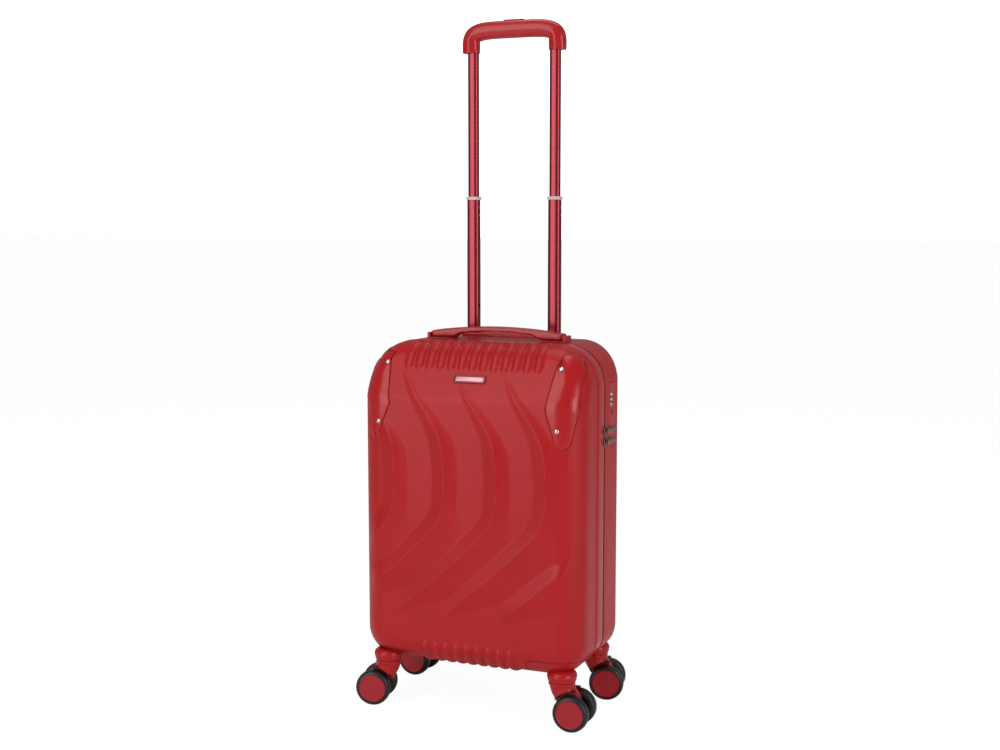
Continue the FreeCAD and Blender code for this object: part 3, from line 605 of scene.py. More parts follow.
def skin(surface, depth, edges, rim, across, up, rows, shift=0.0):
    """One side of a shell from its rim, over the rounded edge, to its flat middle.

    rim is a list of (inset, y) rings behind the edge, and shift moves the skin inwards.
    Gives back the numbers of the first ring.
    """
    turn = np.linspace(0, np.pi / 2, rows)
    inset = FLAT * (1 - np.cos(turn))
    radius = edge_radius(across, up, *edges)
    flat = case_outline(inset, across, up)
    y = depth(flat, inset[:, None], radius[None])
    out = np.stack([flat[..., 0], y, flat[..., 1]], axis=-1)
    rim = np.array(rim)
    behind = ring_points(rim[:, 0], rim[:, 1], across, up)
    rings = np.concatenate([behind, out])
    if shift:
        away = grid_normals(rings)
        rings = rings + away * shift
        rings[0, :, 1] = rim[0, 1]
        rings[-1] = out[-1] + Y_AXIS * shift * np.sign(rim[0, 1] - out[-1, 0, 1])
    numbers = surface.add(rings)
    surface.cells(numbers, wrap_v=True)
    last = rings[-1]
    x = last[:across, 0]
    x = np.append(x, last[across, 0])
    z = np.append(last[across : across + up, 2], last[across + up, 2])
    grid_x, grid_z = np.meshgrid(x, z, indexing="ij")
    middle_y = np.broadcast_to(np.interp(grid_z[0], z, side_depths(last, across, up)), grid_x.shape)
    surface.cells(surface.add(np.stack([grid_x, middle_y, grid_z], axis=-1)))
    return numbers[0]


def side_depths(ring, across, up):
    return np.append(ring[across : across + up, 1], ring[across + up, 1])


def grid_normals(points):
    """Unit inward direction at each ring point, from its neighbours along both parameters."""
    round_way = np.roll(points, -1, axis=1) - np.roll(points, 1, axis=1)
    stack_way = np.gradient(points, axis=0)
    normal = np.cross(round_way, stack_way)
    normal /= np.maximum(np.linalg.norm(normal, axis=-1), 1e-9)[..., None]
    centre = np.array([0, 0, (TOP + BOTTOM) / 2])
    wrong = (normal * (centre - points)).sum(-1) < 0
    normal[wrong] *= -1
    return normal


print("outline points at the rim:", case_outline(0.0, 60, 80).shape[1])

# %% [markdown]
# A shell is a closed skin: a fine outside, a coarse inside 2.5 mm further in, and a lip that
# joins them. Each coarse step on the lip faces COARSE fine ones, so its faces have many
# corners. The bead beside the rim is two extra rings that stand proud of the wall.

# %% Shell body
WALL = 2.5
COARSE = 5


def shell_surface(depth, edges, outer_rim, inner_rim, across, up, rows=30):
    surface = Surface()
    outer = skin(surface, depth, edges, outer_rim, across, up, rows)
    inner = skin(surface, depth, edges, inner_rim, across // COARSE, up // COARSE, 12, shift=WALL)
    fine = np.append(outer, outer[:1])
    coarse = np.append(inner, inner[:1])
    steps = np.arange(len(inner))
    edge = [fine[steps * COARSE + k] for k in range(COARSE + 1)]
    surface.faces.append(np.stack(edge + [coarse[steps + 1], coarse[steps]], axis=1))
    return surface


# %% [markdown]
# The front is covered by tall waves. Each wave has a sharp crest that runs down, bulges to the
# right at mid height and then sweeps away to the lower left; a steep flank lies left of it and
# a gentle one right. All crests are one curve moved along X, so one formula gives them.

# %% Waves and ribs


def soft_step(value, low, high):
    """0 below low, 1 above high, and a smooth S between."""
    t = np.clip((value - low) / (high - low), 0, 1)
    return t * t * (3 - 2 * t)


def bend(past, softness):
    """0 well before a bend and the distance past it well after: log(1 + exp)."""
    return softness * np.logaddexp(0, past / softness)


LOWER_BEND_Z, LOWER_SLOPE = 293.0, 1.12
UPPER_BEND_Z, UPPER_SLOPE = 415.0, 0.8
CREST_X = 49.0
LOWER_SOFTNESS, UPPER_SOFTNESS = 13.0, 15.0
WAVE_STEEP = 21.0
WAVE_GENTLE = 20.0
WAVE_GENTLE_LOW = 46.0
WIDEN_START_Z, WIDEN_END_Z = 320, 230
WAVE_HEIGHT = 6.0
# Each wave: its shift along X, then the heights where it starts to rise, is full, and ends.
WAVES = [(-162.0, 445, 400, 250, 205), (-82.0, 512, 400, 215, 150), (0.0, 500, 395, 205, 138),
         (76.0, 512, 400, 200, 138), (166.0, 275, 225, 185, 140)]


def wave_height(x, z):
    """Highest of the waves at each point: height times a two-sided slope about its crest."""
    height = np.zeros_like(x)
    lower, upper = bend(LOWER_BEND_Z - z, LOWER_SOFTNESS), bend(z - UPPER_BEND_Z, UPPER_SOFTNESS)
    crest = CREST_X - LOWER_SLOPE * lower - UPPER_SLOPE * upper
    tilt = (LOWER_SLOPE / (1 + np.exp(-(LOWER_BEND_Z - z) / LOWER_SOFTNESS))
            - UPPER_SLOPE / (1 + np.exp(-(z - UPPER_BEND_Z) / UPPER_SOFTNESS)))
    widen = soft_step(-z, -WIDEN_START_Z, -WIDEN_END_Z)
    gentle = WAVE_GENTLE + (WAVE_GENTLE_LOW - WAVE_GENTLE) * widen
    for shift, start, full, fade, end in WAVES:
        away = (x - crest - shift) / np.sqrt(1 + tilt**2)
        rise = np.clip((start - z) / (start - full), 0, 1)
        size = rise * (1 - soft_step(-z, -fade, -end))
        left = np.clip(1 + away / (WAVE_STEEP * (0.08 + 0.92 * size)), 0, 1)
        right = np.clip(1 - away / (gentle * (0.15 + 0.85 * size)), 0, 1)
        slope = np.where(away < 0, left, right * (2 + right) / 3)
        height = np.maximum(height, WAVE_HEIGHT * size * slope)
    return height


RIB_PITCH = 17.0
RIB_WIDTH = 13.0
RIB_HEIGHT = 3.0
TOP_RIBS, BOTTOM_RIBS = 13, 9
TOP_RIB_END, BOTTOM_RIB_END = 513.0, 109.0
TOP_TURN_Y, BOTTOM_TURN_Y, TURN_SHARE = -62, -70, 0.8
WAVE_LIMIT_Y = -50


def rib_row(x, run, count):
    """Round-backed ribs across X whose rounded ends start where run is 0."""
    number = np.clip(np.round(x / RIB_PITCH), -(count - 1) / 2, (count - 1) / 2)
    side = (x - number * RIB_PITCH) / (RIB_WIDTH / 2)
    end = np.minimum(run - RIB_WIDTH / 2, 0) / (RIB_WIDTH / 2)
    near = np.clip(1 - side**2 - end**2, 0, 1)
    return RIB_HEIGHT * near**0.6


def front_relief(points):
    """Height of the waves and ribs over the plain skin, where it faces forward or up."""
    x, y, z = points.T
    over_top = z + np.maximum(y - TOP_TURN_Y, 0) * TURN_SHARE
    under = BOTTOM_RIB_END - z + np.maximum(y - BOTTOM_TURN_Y, 0) * TURN_SHARE
    fade = 1 - soft_step(y, FRONT_RIM - 9, FRONT_RIM - 4)
    ribs = rib_row(x, over_top - TOP_RIB_END, TOP_RIBS) + rib_row(x, under, BOTTOM_RIBS)
    inside = soft_step(SIDE - np.abs(x), 8, 34)
    return wave_height(x, z) * inside * (y < WAVE_LIMIT_Y) + ribs * fade


def raise_relief(piece, relief):
    """Move each outer point along its own normal by the relief."""
    mesh = piece.data
    place = np.zeros(len(mesh.vertices) * 3)
    away = np.zeros(len(mesh.vertices) * 3)
    mesh.vertices.foreach_get("co", place)
    mesh.vertices.foreach_get("normal", away)
    place, away = place.reshape(-1, 3), away.reshape(-1, 3)
    middle = np.array([0.0, FRONT_RIM, (TOP + BOTTOM) / 2]) * MM
    outer = (away * (place - middle)).sum(axis=1) > 0
    place += away * (relief(place / MM) * outer * MM)[:, None]
    mesh.vertices.foreach_set("co", place.ravel())
    mesh.update()


# %% Moulded corners, as tools and as pieces
HOUSING_X = 83.0
HOUSING_TOP = BOTTOM + 23.5
HOUSING_CORNER = 12.0
SEAM = 0.8
HOUSING_REACH = {"front": 48.0, "rear": 73.0}


def housing_prism(side, end, grow):
    """Block that holds one bottom corner; its inner upper corner is rounded."""
    inner = SIDE - HOUSING_X - grow
    top = HOUSING_TOP + grow
    corners = [(side * inner, BOTTOM - 60, 0.5), (side * (SIDE + 30), BOTTOM - 60, 0.5),
               (side * (SIDE + 30), top, 0.5), (side * inner, top, HOUSING_CORNER + grow)]
    outline = rounded_outline(corners, 9)
    near = REAR - HOUSING_REACH[end] - grow
    far = REAR + 30
    facing = -1 if end == "front" else 1
    ring = np.stack([outline[:, 0], np.zeros(len(outline)), outline[:, 1]], axis=1)
    prism = np.stack([ring + [0, facing * near, 0], ring + [0, facing * far, 0]])
    return make_object("corner_tool", Surface().closed_loft(prism))


def slab_tool(outline, low, high, view):
    return slab_piece("slab_tool", outline, [(0, low), (0, high)], view)


# %% [markdown]
# The guard over each upper front corner follows the shell's surface, so its points are taken
# from the shell's own formula. That formula needs a point's inset, which is found by
# halving an interval: at each step the rounded rectangle through the middle is tested.

# %% Points on the front surface


def outline_distance(x, z, inset):
    """Signed distance out of the ring at an inset."""
    shrink = np.maximum(1 - inset / FLAT, 1e-5)
    radius = np.where(z > (TOP + BOTTOM) / 2, TOP_RADIUS, BOTTOM_RADIUS) * shrink
    half_z = (TOP - BOTTOM) / 2 - inset
    u = np.abs(x) - (SIDE - inset) + radius
    v = np.abs(z - (TOP + BOTTOM) / 2) - half_z + radius
    return np.hypot(np.maximum(u, 0), np.maximum(v, 0)) + np.minimum(np.maximum(u, v), 0) - radius


def on_front(x, z):
    """Points on the plain front skin above or below each (x, z)."""
    low, high = np.zeros_like(x), np.full_like(x, FLAT)
    for _ in range(24):
        middle = (low + high) / 2
        inside = outline_distance(x, z, middle) < 0
        low, high = np.where(inside, middle, low), np.where(inside, high, middle)
    u = np.maximum(np.abs(x) - (SIDE - TOP_RADIUS), 0)
    v = np.maximum(np.abs(z - (TOP + BOTTOM) / 2) - (TOP - BOTTOM) / 2 + TOP_RADIUS, 0)
    share = u**2 / np.maximum(u**2 + v**2, 1e-9)
    ends = np.where(z > CREASE_Z - 100, FRONT_TOP_EDGE, FRONT_BOTTOM_EDGE)
    radius = np.where(low >= FLAT - 0.01, SIDE_EDGE, SIDE_EDGE * share + ends * (1 - share))
    y = FRONT + lean(z) + rim_rise(low, radius)
    return np.stack([x, y, z], axis=-1)


def front_facing(x, z):
    """Unit outward direction of the front skin, from points half a millimetre apart."""
    step = 0.5
    across = on_front(x + step, z) - on_front(x - step, z)
    up = on_front(x, z + step) - on_front(x, z - step)
    normal = np.cross(across, up)
    normal /= np.linalg.norm(normal, axis=-1)[..., None]
    return normal


GUARD_CORNERS = [(53.5, 87.0, 8.0), (36.0, 141.0, 8.0), (19.0, 141.0, 12.0), (7.0, 85.0, 30.0),
                 (9.0, 32.0, 22.0), (23.0, 10.0, 12.0), (44.0, 10.0, 6.0)]


def guard_outline(side, grow=0.0):
    corners = [(side * (SIDE - inset), TOP - drop, radius) for inset, drop, radius in GUARD_CORNERS]
    outline = rounded_outline(corners, 12)
    share = np.linspace(0, 1, 7)[:-1, None, None]
    fine = outline[None] * (1 - share) + np.roll(outline, -1, axis=0)[None] * share
    outline = fine.transpose(1, 0, 2).reshape(-1, 2)
    keep = np.linalg.norm(outline - np.roll(outline, 1, axis=0), axis=1) > 0.15
    outline = outline[keep]
    return outline + outward(outline) * grow


def guard_points(outline, levels):
    """Rings from the rim to the middle: each level is (share of the way out, height)."""
    centre = outline.mean(axis=0)
    share, height = np.array(levels, float).T
    flat = centre + (outline - centre)[None] * share[:, None, None]
    x, z = flat[..., 0], flat[..., 1]
    return on_front(x, z) + front_facing(x, z) * height[:, None, None]


# %% [markdown]
# With the tools ready the front shell is made: plain skin, relief, then a cut for each wheel
# moulding and a shallow seat for each guard. The order matters, because the relief moves
# points along normals that the cuts would disturb.

# %% Front shell
BEAD = 0.9
SEAT_DEPTH, SEAT_GAP = 1.6, 1.0
FRONT_EDGES = (FRONT_TOP_EDGE, FRONT_BOTTOM_EDGE)
front_outer_rim = [(0.5, FRONT_RIM), (-0.5, FRONT_RIM - 0.6), (-BEAD, FRONT_RIM - 1.8),
                   (-0.5, FRONT_RIM - 3.1), (0.15, FRONT_RIM - 3.9), (0.0, FRONT_RIM - 5.4),
                   (0.0, FRONT_RIM - 8.0), (0.0, FRONT_RIM - 11.0)]
front_inner_rim = [(0.0, FRONT_RIM), (0.0, FRONT_RIM - 6.0)]
front_shell = make_object(
    "front_shell_skin",
    shell_surface(front_depth, FRONT_EDGES, front_outer_rim, front_inner_rim, 180, 240))
raise_relief(front_shell, front_relief)
SEAT_SHARES = np.array([0.03, 0.15, 0.3, 0.45, 0.6, 0.72, 0.82, 0.9, 0.96, 1.0])
SEAT_LEVELS = [(s, -SEAT_DEPTH) for s in SEAT_SHARES] + [(s, 6.0) for s in SEAT_SHARES[::-1]]
seats = []
for side in (-1, 1):
    seat = Surface().closed_loft(guard_points(guard_outline(side, SEAT_GAP), SEAT_LEVELS))
    seats.append(make_object("seat", seat))
carve(front_shell, [housing_prism(side, "front", SEAM) for side in (-1, 1)])
carve(front_shell, seats)
finish_piece(front_shell, shell_red, "front_half", ["front_shell"], sharp=28)

# %% [markdown]
# The guards are thin satin mouldings with a rounded rim and a slightly swollen middle. Each
# sits in its seat, so the dark line round it is a real gap. Pan-head screws hold them: a turned
# dome with a socket sunk in the middle, set square to the surface under it.

# %% Corner guards and screws
SCREW_PLACES = [(SIDE - 35.0, TOP - 115.0), (SIDE - 38.0, CREASE_Z + 46.0)]
GUARD_LEVELS = [(0.03, -1.5), (0.3, -1.5), (0.6, -1.5), (0.82, -1.5), (1.0, -1.5), (1.0, 0.1),
                (0.99, 0.5), (0.97, 0.8), (0.93, 1.0), (0.86, 1.12), (0.77, 1.22), (0.66, 1.32),
                (0.54, 1.4), (0.42, 1.46), (0.3, 1.5), (0.18, 1.54), (0.08, 1.56), (0.03, 1.56)]


def add_lathe(surface, profile, origin, out, count=32):
    """A turned closed part whose local Z points along out."""
    out = np.asarray(out, float) / np.linalg.norm(out)
    hint = X_AXIS if abs(out[0]) < 0.9 else Y_AXIS
    across = np.cross(hint, out)
    across /= np.linalg.norm(across)
    points = placed(turned(profile, count), origin, across, np.cross(out, across), out)
    surface.closed_loft(points)


guards = Surface()
for side in (-1, 1):
    guards.closed_loft(guard_points(guard_outline(side), GUARD_LEVELS))
guards = make_object("corner_guard_mouldings", guards)
finish_piece(guards, guard_red, "front_half", ["corner_guards"], sharp=40)

SCREW_PROFILE = [(0.05, -1.0), (3.2, -1.0), (3.2, 0.5), (2.9, 0.9), (2.2, 1.25), (1.6, 1.35), (1.45, 1.2),
                 (1.4, 0.4), (0.05, 0.3)]
screws = Surface()
for side in (-1, 1):
    for x, z in SCREW_PLACES:
        spot_x, spot_z = np.array([side * x]), np.array([z])
        facing = front_facing(spot_x, spot_z)[0]
        add_lathe(screws, SCREW_PROFILE, on_front(spot_x, spot_z)[0] + facing * 1.4, facing, 24)
screws = make_object("guard_screw_heads", screws)
finish_piece(screws, bright_metal, "front_half", ["corner_guard_screws"], sharp=40)

# %% [markdown]
# The badge is a blank plate: a bevelled rosy frame round a paler centre that lies a little
# lower. It sits on the leaning part of the face, so its own axes are X, up the slope, and out
# of the slope.

# %% Badge plate
slope = math.atan(LEAN)
UP_SLOPE = np.array([0.0, math.sin(slope), math.cos(slope)])
OUT_OF_SLOPE = np.array([0.0, -math.cos(slope), math.sin(slope)])
badge_low, badge_high = box_mm("badge_plate")
badge_z = (badge_low[2] + badge_high[2]) / 2 - 0.5
badge_base = np.array([0.0, FRONT + float(lean(np.array(badge_z))), badge_z])
rim_outline = rectangle(50.0, 12.5, 1.2)
rim_steps = [(0, -1.5), (0, 1.2), (0.4, 1.9), (0.9, 2.3), (1.6, 2.4), (2.2, 2.0), (2.4, 1.3), (6.0, 1.3)]
ON_SLOPE = (badge_base, X_AXIS, UP_SLOPE, OUT_OF_SLOPE)
badge_rim = Surface().closed_loft(placed(slab(rim_outline, rim_steps), *ON_SLOPE))
badge_rim = make_object("badge_frame", badge_rim)
finish_piece(badge_rim, rose_metal, "front_half", ["badge_plate"], sharp=20)
centre_steps = soft_edge(1.0, 1.9, 0.3)
centre_plate = slab(rectangle(44.0, 6.8, 0.8), centre_steps)
centre_plate = Surface().closed_loft(placed(centre_plate, *ON_SLOPE))
finish_piece(make_object("badge_centre", centre_plate), rose_centre, "front_half", sharp=20)

# %% [markdown]
# Behind the front shell comes the smooth trim band, then the zip in its groove, then the rear
# shell. The band is a ring whose section is a gently crowned strip with a tongue that reaches
# inside the front shell, which is what shows as the floor of the groove between them.

# %% Trim band
BAND_FRONT, BAND_REAR = FRONT_RIM + 2.0, box_mm("front_trim_band")[1][1]
band_section = [(0.8, BAND_FRONT), (0.25, BAND_FRONT + 0.4), (0.0, BAND_FRONT + 1.2), (-0.25, BAND_FRONT + 6),
                (-0.35, BAND_FRONT + 13), (-0.25, BAND_REAR - 6), (0.0, BAND_REAR - 1.2),
                (0.25, BAND_REAR - 0.4), (0.8, BAND_REAR), (2.5, BAND_REAR), (4.1, BAND_FRONT + 6),
                (4.1, FRONT_RIM - 9), (2.6, FRONT_RIM - 9), (2.6, BAND_FRONT)]


def ring_of(section, across=90, up=120):
    section = np.array(section)
    return Surface().ring_loft(ring_points(section[:, 0], section[:, 1], across, up))


band = make_object("trim_band_ring", ring_of(band_section))
finish_piece(band, trim_red, "front_half", ["front_trim_band"], sharp=30)

# %% [markdown]
# The rear shell is the same kind of skin, facing the other way. It is cut for the wheel
# mouldings, the handle bezel and the lock.

# %% Rear shell
REAR_EDGES = (REAR_TOP_EDGE, REAR_BOTTOM_EDGE)
rear_outer_rim = [(0.6, REAR_RIM), (0.1, REAR_RIM + 0.5), (0.0, REAR_RIM + 1.4), (0.0, REAR_RIM + 20.0)]
rear_inner_rim = [(0.0, REAR_RIM), (0.0, REAR_RIM + 6.0)]
rear_shell = make_object(
    "rear_shell_skin",
    shell_surface(rear_depth, REAR_EDGES, rear_outer_rim, rear_inner_rim, 120, 160))
bezel_low, bezel_high = box_mm("handle_bezel")
BEZEL_SIZE = bezel_high - bezel_low
TUBE_Y = (bezel_low[1] + bezel_high[1]) / 2
bezel_outline = rectangle(BEZEL_SIZE[0], BEZEL_SIZE[1], BEZEL_SIZE[1] / 2 - 2, (0, TUBE_Y), 10)
lock_low, lock_high = box_mm("lock_body")
LOCK_Y, LOCK_Z = (lock_low[1] + lock_high[1]) / 2, (lock_low[2] + lock_high[2]) / 2
LOCK_WIDE, LOCK_TALL = lock_high[1] - lock_low[1], lock_high[2] - lock_low[2]
carve(rear_shell, [housing_prism(side, "rear", SEAM) for side in (-1, 1)])
carve(rear_shell, [slab_tool(bezel_outline, bezel_low[2], bezel_high[2] + 5, IN_PLAN)])
lock_hole = rectangle(LOCK_WIDE + 0.5, LOCK_TALL + 0.5, 8.0, (LOCK_Y, LOCK_Z))
carve(rear_shell, [slab_tool(lock_hole, lock_low[0] - 2, SIDE + 5, IN_SIDE_VIEW)])
finish_piece(rear_shell, shell_red, "rear_half", ["rear_shell"], sharp=28)

# %% [markdown]
# A zip runs round both halves except along the hinge side. Its tape is a strip sewn inside each
# rim and its coil is hundreds of small rounded beads, so one bead with few faces is repeated:
# every copy is the same points carried by the outline's own axes at that place.

# %% Zip tapes and teeth
HINGE_MARGIN = 75.0
TEETH_PITCH = 2.1
ZIP_Y = (BAND_REAR + REAR_RIM) / 2


def zip_path(insets, across, up):
    """Outline points at each inset, without the straight run of the hinge side, in order."""
    flat = case_outline(insets, across, up)
    x, z = flat[0].T
    middle, reach = (TOP + BOTTOM) / 2, (TOP - BOTTOM) / 2 - HINGE_MARGIN
    hinge = (x < 5 - SIDE) & (np.abs(z - middle) < reach)
    first = np.flatnonzero(hinge)[-1] + 1
    return np.roll(flat, -first, axis=1)[:, ~np.roll(hinge, -first)]


def zip_tape(y0, y1):
    outer, inner = zip_path([WALL + 0.1, WALL + 1.0], 90, 120)
    corner = [(outer, y0), (outer, y1), (inner, y1), (inner, y0)]
    rings = [np.stack([p[:, 0], np.full(len(p), y), p[:, 1]], axis=-1) for p, y in corner]
    return Surface().closed_loft(np.stack(rings, axis=1))


def zip_teeth(y):
    """One squashed ball, repeated at even steps along the outline."""
    path = zip_path(WALL - 0.75, 300, 400)[0]
    run = np.concatenate([[0], np.cumsum(np.linalg.norm(np.diff(path, axis=0), axis=1))])
    steps = np.arange(1, run[-1] - 1, TEETH_PITCH)
    spot = np.stack([np.interp(steps, run, path[:, k]) for k in (0, 1)], axis=1)
    ahead = np.stack([np.interp(steps + 0.5, run, path[:, k]) for k in (0, 1)], axis=1) - spot
    ahead /= np.linalg.norm(ahead, axis=1)[:, None]
    band_angle = np.linspace(-np.pi / 2 + 0.25, np.pi / 2 - 0.25, 5)
    c, s = circle(8)
    ball = np.stack([np.cos(band_angle)[:, None] * c * 0.8, np.cos(band_angle)[:, None] * s * 0.8,
                     np.repeat(np.sin(band_angle)[:, None] * 0.95, 8, axis=1)], axis=-1)
    along = np.stack([ahead[:, 0], np.zeros(len(spot)), ahead[:, 1]], axis=1)
    out = np.stack([ahead[:, 1], np.zeros(len(spot)), -ahead[:, 0]], axis=1)
    centre = np.stack([spot[:, 0], np.full(len(spot), y), spot[:, 1]], axis=1)
    points = (centre[:, None, None] + along[:, None, None] * ball[None, ..., :1]
              + out[:, None, None] * ball[None, ..., 1:2] + Y_AXIS * ball[None, ..., 2:])
    surface = Surface()
    numbers = surface.add(points)
    quads = numbers[:, :-1], numbers[:, 1:]
    low, high = (np.concatenate([q, q[..., :1]], axis=2) for q in quads)
    faces = np.stack([low[..., :-1], high[..., :-1], high[..., 1:], low[..., 1:]], axis=-1)
    surface.faces.append(faces.reshape(-1, 4))
    surface.faces.append(numbers[:, 0])
    surface.faces.append(numbers[:, -1])
    return surface


teeth_dark = dark_moulding("zip_coil_dark", rgb(60, 20, 24), rgb(44, 16, 18), 0.4, 900.0, 0.05)
for half, y0, y1, teeth_y, node in (("front", BAND_REAR - 7, ZIP_Y - 0.5, ZIP_Y - 1.05, "front_zip"),
                                    ("rear", ZIP_Y + 0.5, REAR_RIM + 10, ZIP_Y + 1.05, "rear_zip")):
    tape = make_object(half + "_zip_tape", zip_tape(y0, y1))
    finish_piece(tape, tape_black, half + "_half", [node], sharp=60)
    teeth = make_object(half + "_zip_coil", zip_teeth(teeth_y))
    finish_piece(teeth, teeth_dark, half + "_half", sharp=60)

# %% [markdown]
# The hinge side is closed by a strip of cloth sewn inside both halves. It has to bend when the case opens, so
# it is one sheet with many rows across the joint.

# %% Hinge cloth
strip_low, strip_high = box_mm("hinge_strip")
STRIP_HELD = 9.0
STRIP_Y0, STRIP_Y1 = BAND_REAR - STRIP_HELD, REAR_RIM + STRIP_HELD
strip_y = np.linspace(STRIP_Y0, STRIP_Y1, 25)
strip_z = np.linspace(strip_low[2], strip_high[2], 40)
grid_y, grid_z = np.meshgrid(strip_y, strip_z, indexing="ij")
pucker = 0.15 * np.sin(grid_z / 9.0) * np.cos((grid_y - ZIP_Y) / 4.0)
sides = [np.stack([strip_low[0] + 0.6 + pucker + thick, grid_y, grid_z], axis=-1) for thick in (0.0, 0.8)]
strip = Surface()
near, far = strip.add(sides[0]), strip.add(sides[1])
for sheet_numbers in (near, far):
    strip.cells(sheet_numbers)
BORDERS = ((0, slice(None)), (-1, slice(None)), (slice(None), 0), (slice(None), -1))
for border in BORDERS:
    strip.cells(np.stack([near[border], far[border]]))
strip = make_object("hinge_cloth", strip)
strip.data.materials.append(tape_black)
strip.data.polygons.foreach_set("use_smooth", np.ones(len(strip.data.polygons), bool))
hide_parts("hinge_strip")
(STRIP_Y1 - STRIP_Y0) * MM
(ZIP_Y + 5) * MM
(ZIP_Y - 5) * MM
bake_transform(strip)
print("hinge cloth", STRIP_Y1 - STRIP_Y0, "mm wide")

# %% [markdown]
# The wheel mouldings are cut from the same body as the shells, so they lie flush with them and
# the gap between is even. A turned collar with two small steps is joined underneath, where the
# fork swivels. Last, each is hollowed by taking away the same body, moved in by the wall.

# %% Wheel mouldings
SWIVEL_Z = joint_mm("front_left_swivel")[2]
HOUSING_WALL = 3.0
# Each ring of the collar: radius, and height above the swivel.
COLLAR_RINGS = [(0.05, 19), (10.0, 18.6), (16.5, 17.0), (20.2, 14.2), (21.8, 11.0), (22.1, 8.6),
                (21.7, 6.6), (21.2, 6.1), (21.0, 3.4), (20.3, 2.9), (20.0, 0.9), (19.6, 0.6), (0.05, 0.6)]
COLLAR = [(radius, SWIVEL_Z + rise) for radius, rise in COLLAR_RINGS]


def solid_half(depth, edges, rim_y, shift=0.0):
    """The whole body of one half, filled, and moved in by shift."""
    surface = Surface()
    surface.cap(skin(surface, depth, edges, [(0.0, rim_y)], 80, 110, 26, shift=shift))
    return make_object("half_block", surface)


HALVES = {"front": (front_depth, FRONT_EDGES, FRONT_RIM), "rear": (rear_depth, REAR_EDGES, REAR_RIM)}


def housing(side, hand, end):
    """One corner of the body with its collar, hollowed."""
    block = solid_half(*HALVES[end])
    carve(block, [housing_prism(side, end, 0.0)], "INTERSECT")
    x, y = joint_mm("%s_%s_swivel" % (end, hand))[:2]
    collar = Surface()
    add_lathe(collar, COLLAR, (x, y, 0), Z_AXIS, 56)
    carve(block, [make_object("collar_tool", collar)], "UNION")
    return carve(block, [solid_half(*HALVES[end], shift=HOUSING_WALL)])


for end in ("front", "rear"):
    for side, hand in ((-1, "left"), (1, "right")):
        moulding = housing(side, hand, end)
        moulding.name = "%s_%s_wheel_moulding" % (end, hand)
        node = ["%s_wheel_housings" % end]
        finish_piece(moulding, moulding_red, end + "_half", node, sharp=30)

# %% [markdown]
# A caster is a pair of wheels on a fork. Everything in it is made in the caster's own axes,
# ahead (towards the wheels), sideways (along the axle) and up, and then carried to its place,
# which the swivel joint and the tyres' boxes give. A tyre is a turned ring with soft
# shoulders; each wheel has a black core and a red cap with a thin raised rim.

# %% Wheels
WHEEL_RADIUS = joint_mm("front_left_outboard_wheel_spin")[2]
CORE_RADIUS = 21.0
HALF_WIDTH = 8.5
SHOULDER = 5.0
shoulder = np.linspace(0, np.pi / 2, 6)
tread = [(WHEEL_RADIUS - 5.2 + SHOULDER * math.sin(a), HALF_WIDTH - SHOULDER + SHOULDER * math.cos(a))
         for a in shoulder]
TYRE_PROFILE = ([(CORE_RADIUS + 0.1, HALF_WIDTH - 0.9), (CORE_RADIUS + 0.3, HALF_WIDTH - 0.1)] + tread
                + [(WHEEL_RADIUS, 0.0)] + [(r, -h) for r, h in tread[::-1]]
                + [(CORE_RADIUS + 0.3, 0.1 - HALF_WIDTH), (CORE_RADIUS + 0.1, 0.9 - HALF_WIDTH)])
CAP_PROFILE = [(0.05, 3.0), (20.9, 3.0), (20.9, 7.5), (20.6, 8.15), (20.1, 8.35), (19.5, 8.25),
               (19.1, 7.85), (18.2, 7.7), (12.0, 7.8), (0.05, 7.9)]
CORE_PROFILE = [(0.05, 2.9), (20.9, 2.9), (20.9, -8.0), (20.3, -8.4), (18.6, -8.4), (18.0, -7.6),
                (17.4, -4.6), (9.0, -3.6), (8.4, -4.2), (7.4, -8.2), (6.9, -8.6), (3.4, -8.6),
                (3.1, -8.0), (3.1, -4.0), (0.05, -4.0)]


def unit(vector):
    return np.asarray(vector, float) / np.linalg.norm(vector)


def add_spokes(surface, centre, out, count=6):
    """Thin ribs on the inner side of a core, from its boss to its rim."""
    across, up = unit(np.cross(out, Z_AXIS)), Z_AXIS
    for turn in np.arange(count) * 2 * np.pi / count:
        along = across * math.cos(turn) + up * math.sin(turn)
        side = np.cross(out, along)
        rib = slab(rectangle(10.6, 1.6, 0.5, (12.9, 0.0), 3), [(0, -8.0), (0, -3.4)])
        surface.closed_loft(placed(rib, centre, along, side, out))


CORNERS = [end + "_" + hand for end in ("front", "rear") for hand in ("left", "right")]
for corner in CORNERS:
    for place in ("outboard", "inboard"):
        name = "%s_%s" % (corner, place)
        low, high = box_mm(name + "_tyre")
        centre = (low + high) / 2
        axle_point = joint_mm(name + "_wheel_spin")
        out = unit((centre - axle_point) * [1, 1, 0])
        body = name + "_wheel"
        tyre = Surface()
        across = unit(np.cross(Z_AXIS, out))
        tyre.ring_loft(placed(turned(TYRE_PROFILE, 72), centre, across, np.cross(out, across), out))
        finish_piece(make_object(name + "_tyre_ring", tyre), rubber, body, [name + "_tyre"], 50)
        core, cap = Surface(), Surface()
        add_lathe(core, CORE_PROFILE, centre, out, 56)
        add_spokes(core, centre, out)
        finish_piece(make_object(name + "_core", core), core_black, body, [name + "_hub"], 35)
        add_lathe(cap, CAP_PROFILE, centre, out, 72)
        finish_piece(make_object(name + "_cap", cap), cap_red, body, sharp=35)

# %% [markdown]
# The fork is a round neck with a step that grows into a leaning trunk, cut away round both
# wheels, and a web between them that carries the axle. A thin dark arch with ribs lies in the
# cut over each wheel. Neck and trunk are ovals stacked on a leaning line, the web is a slab with
# a turned boss, and the arches are bars bent about the axle.

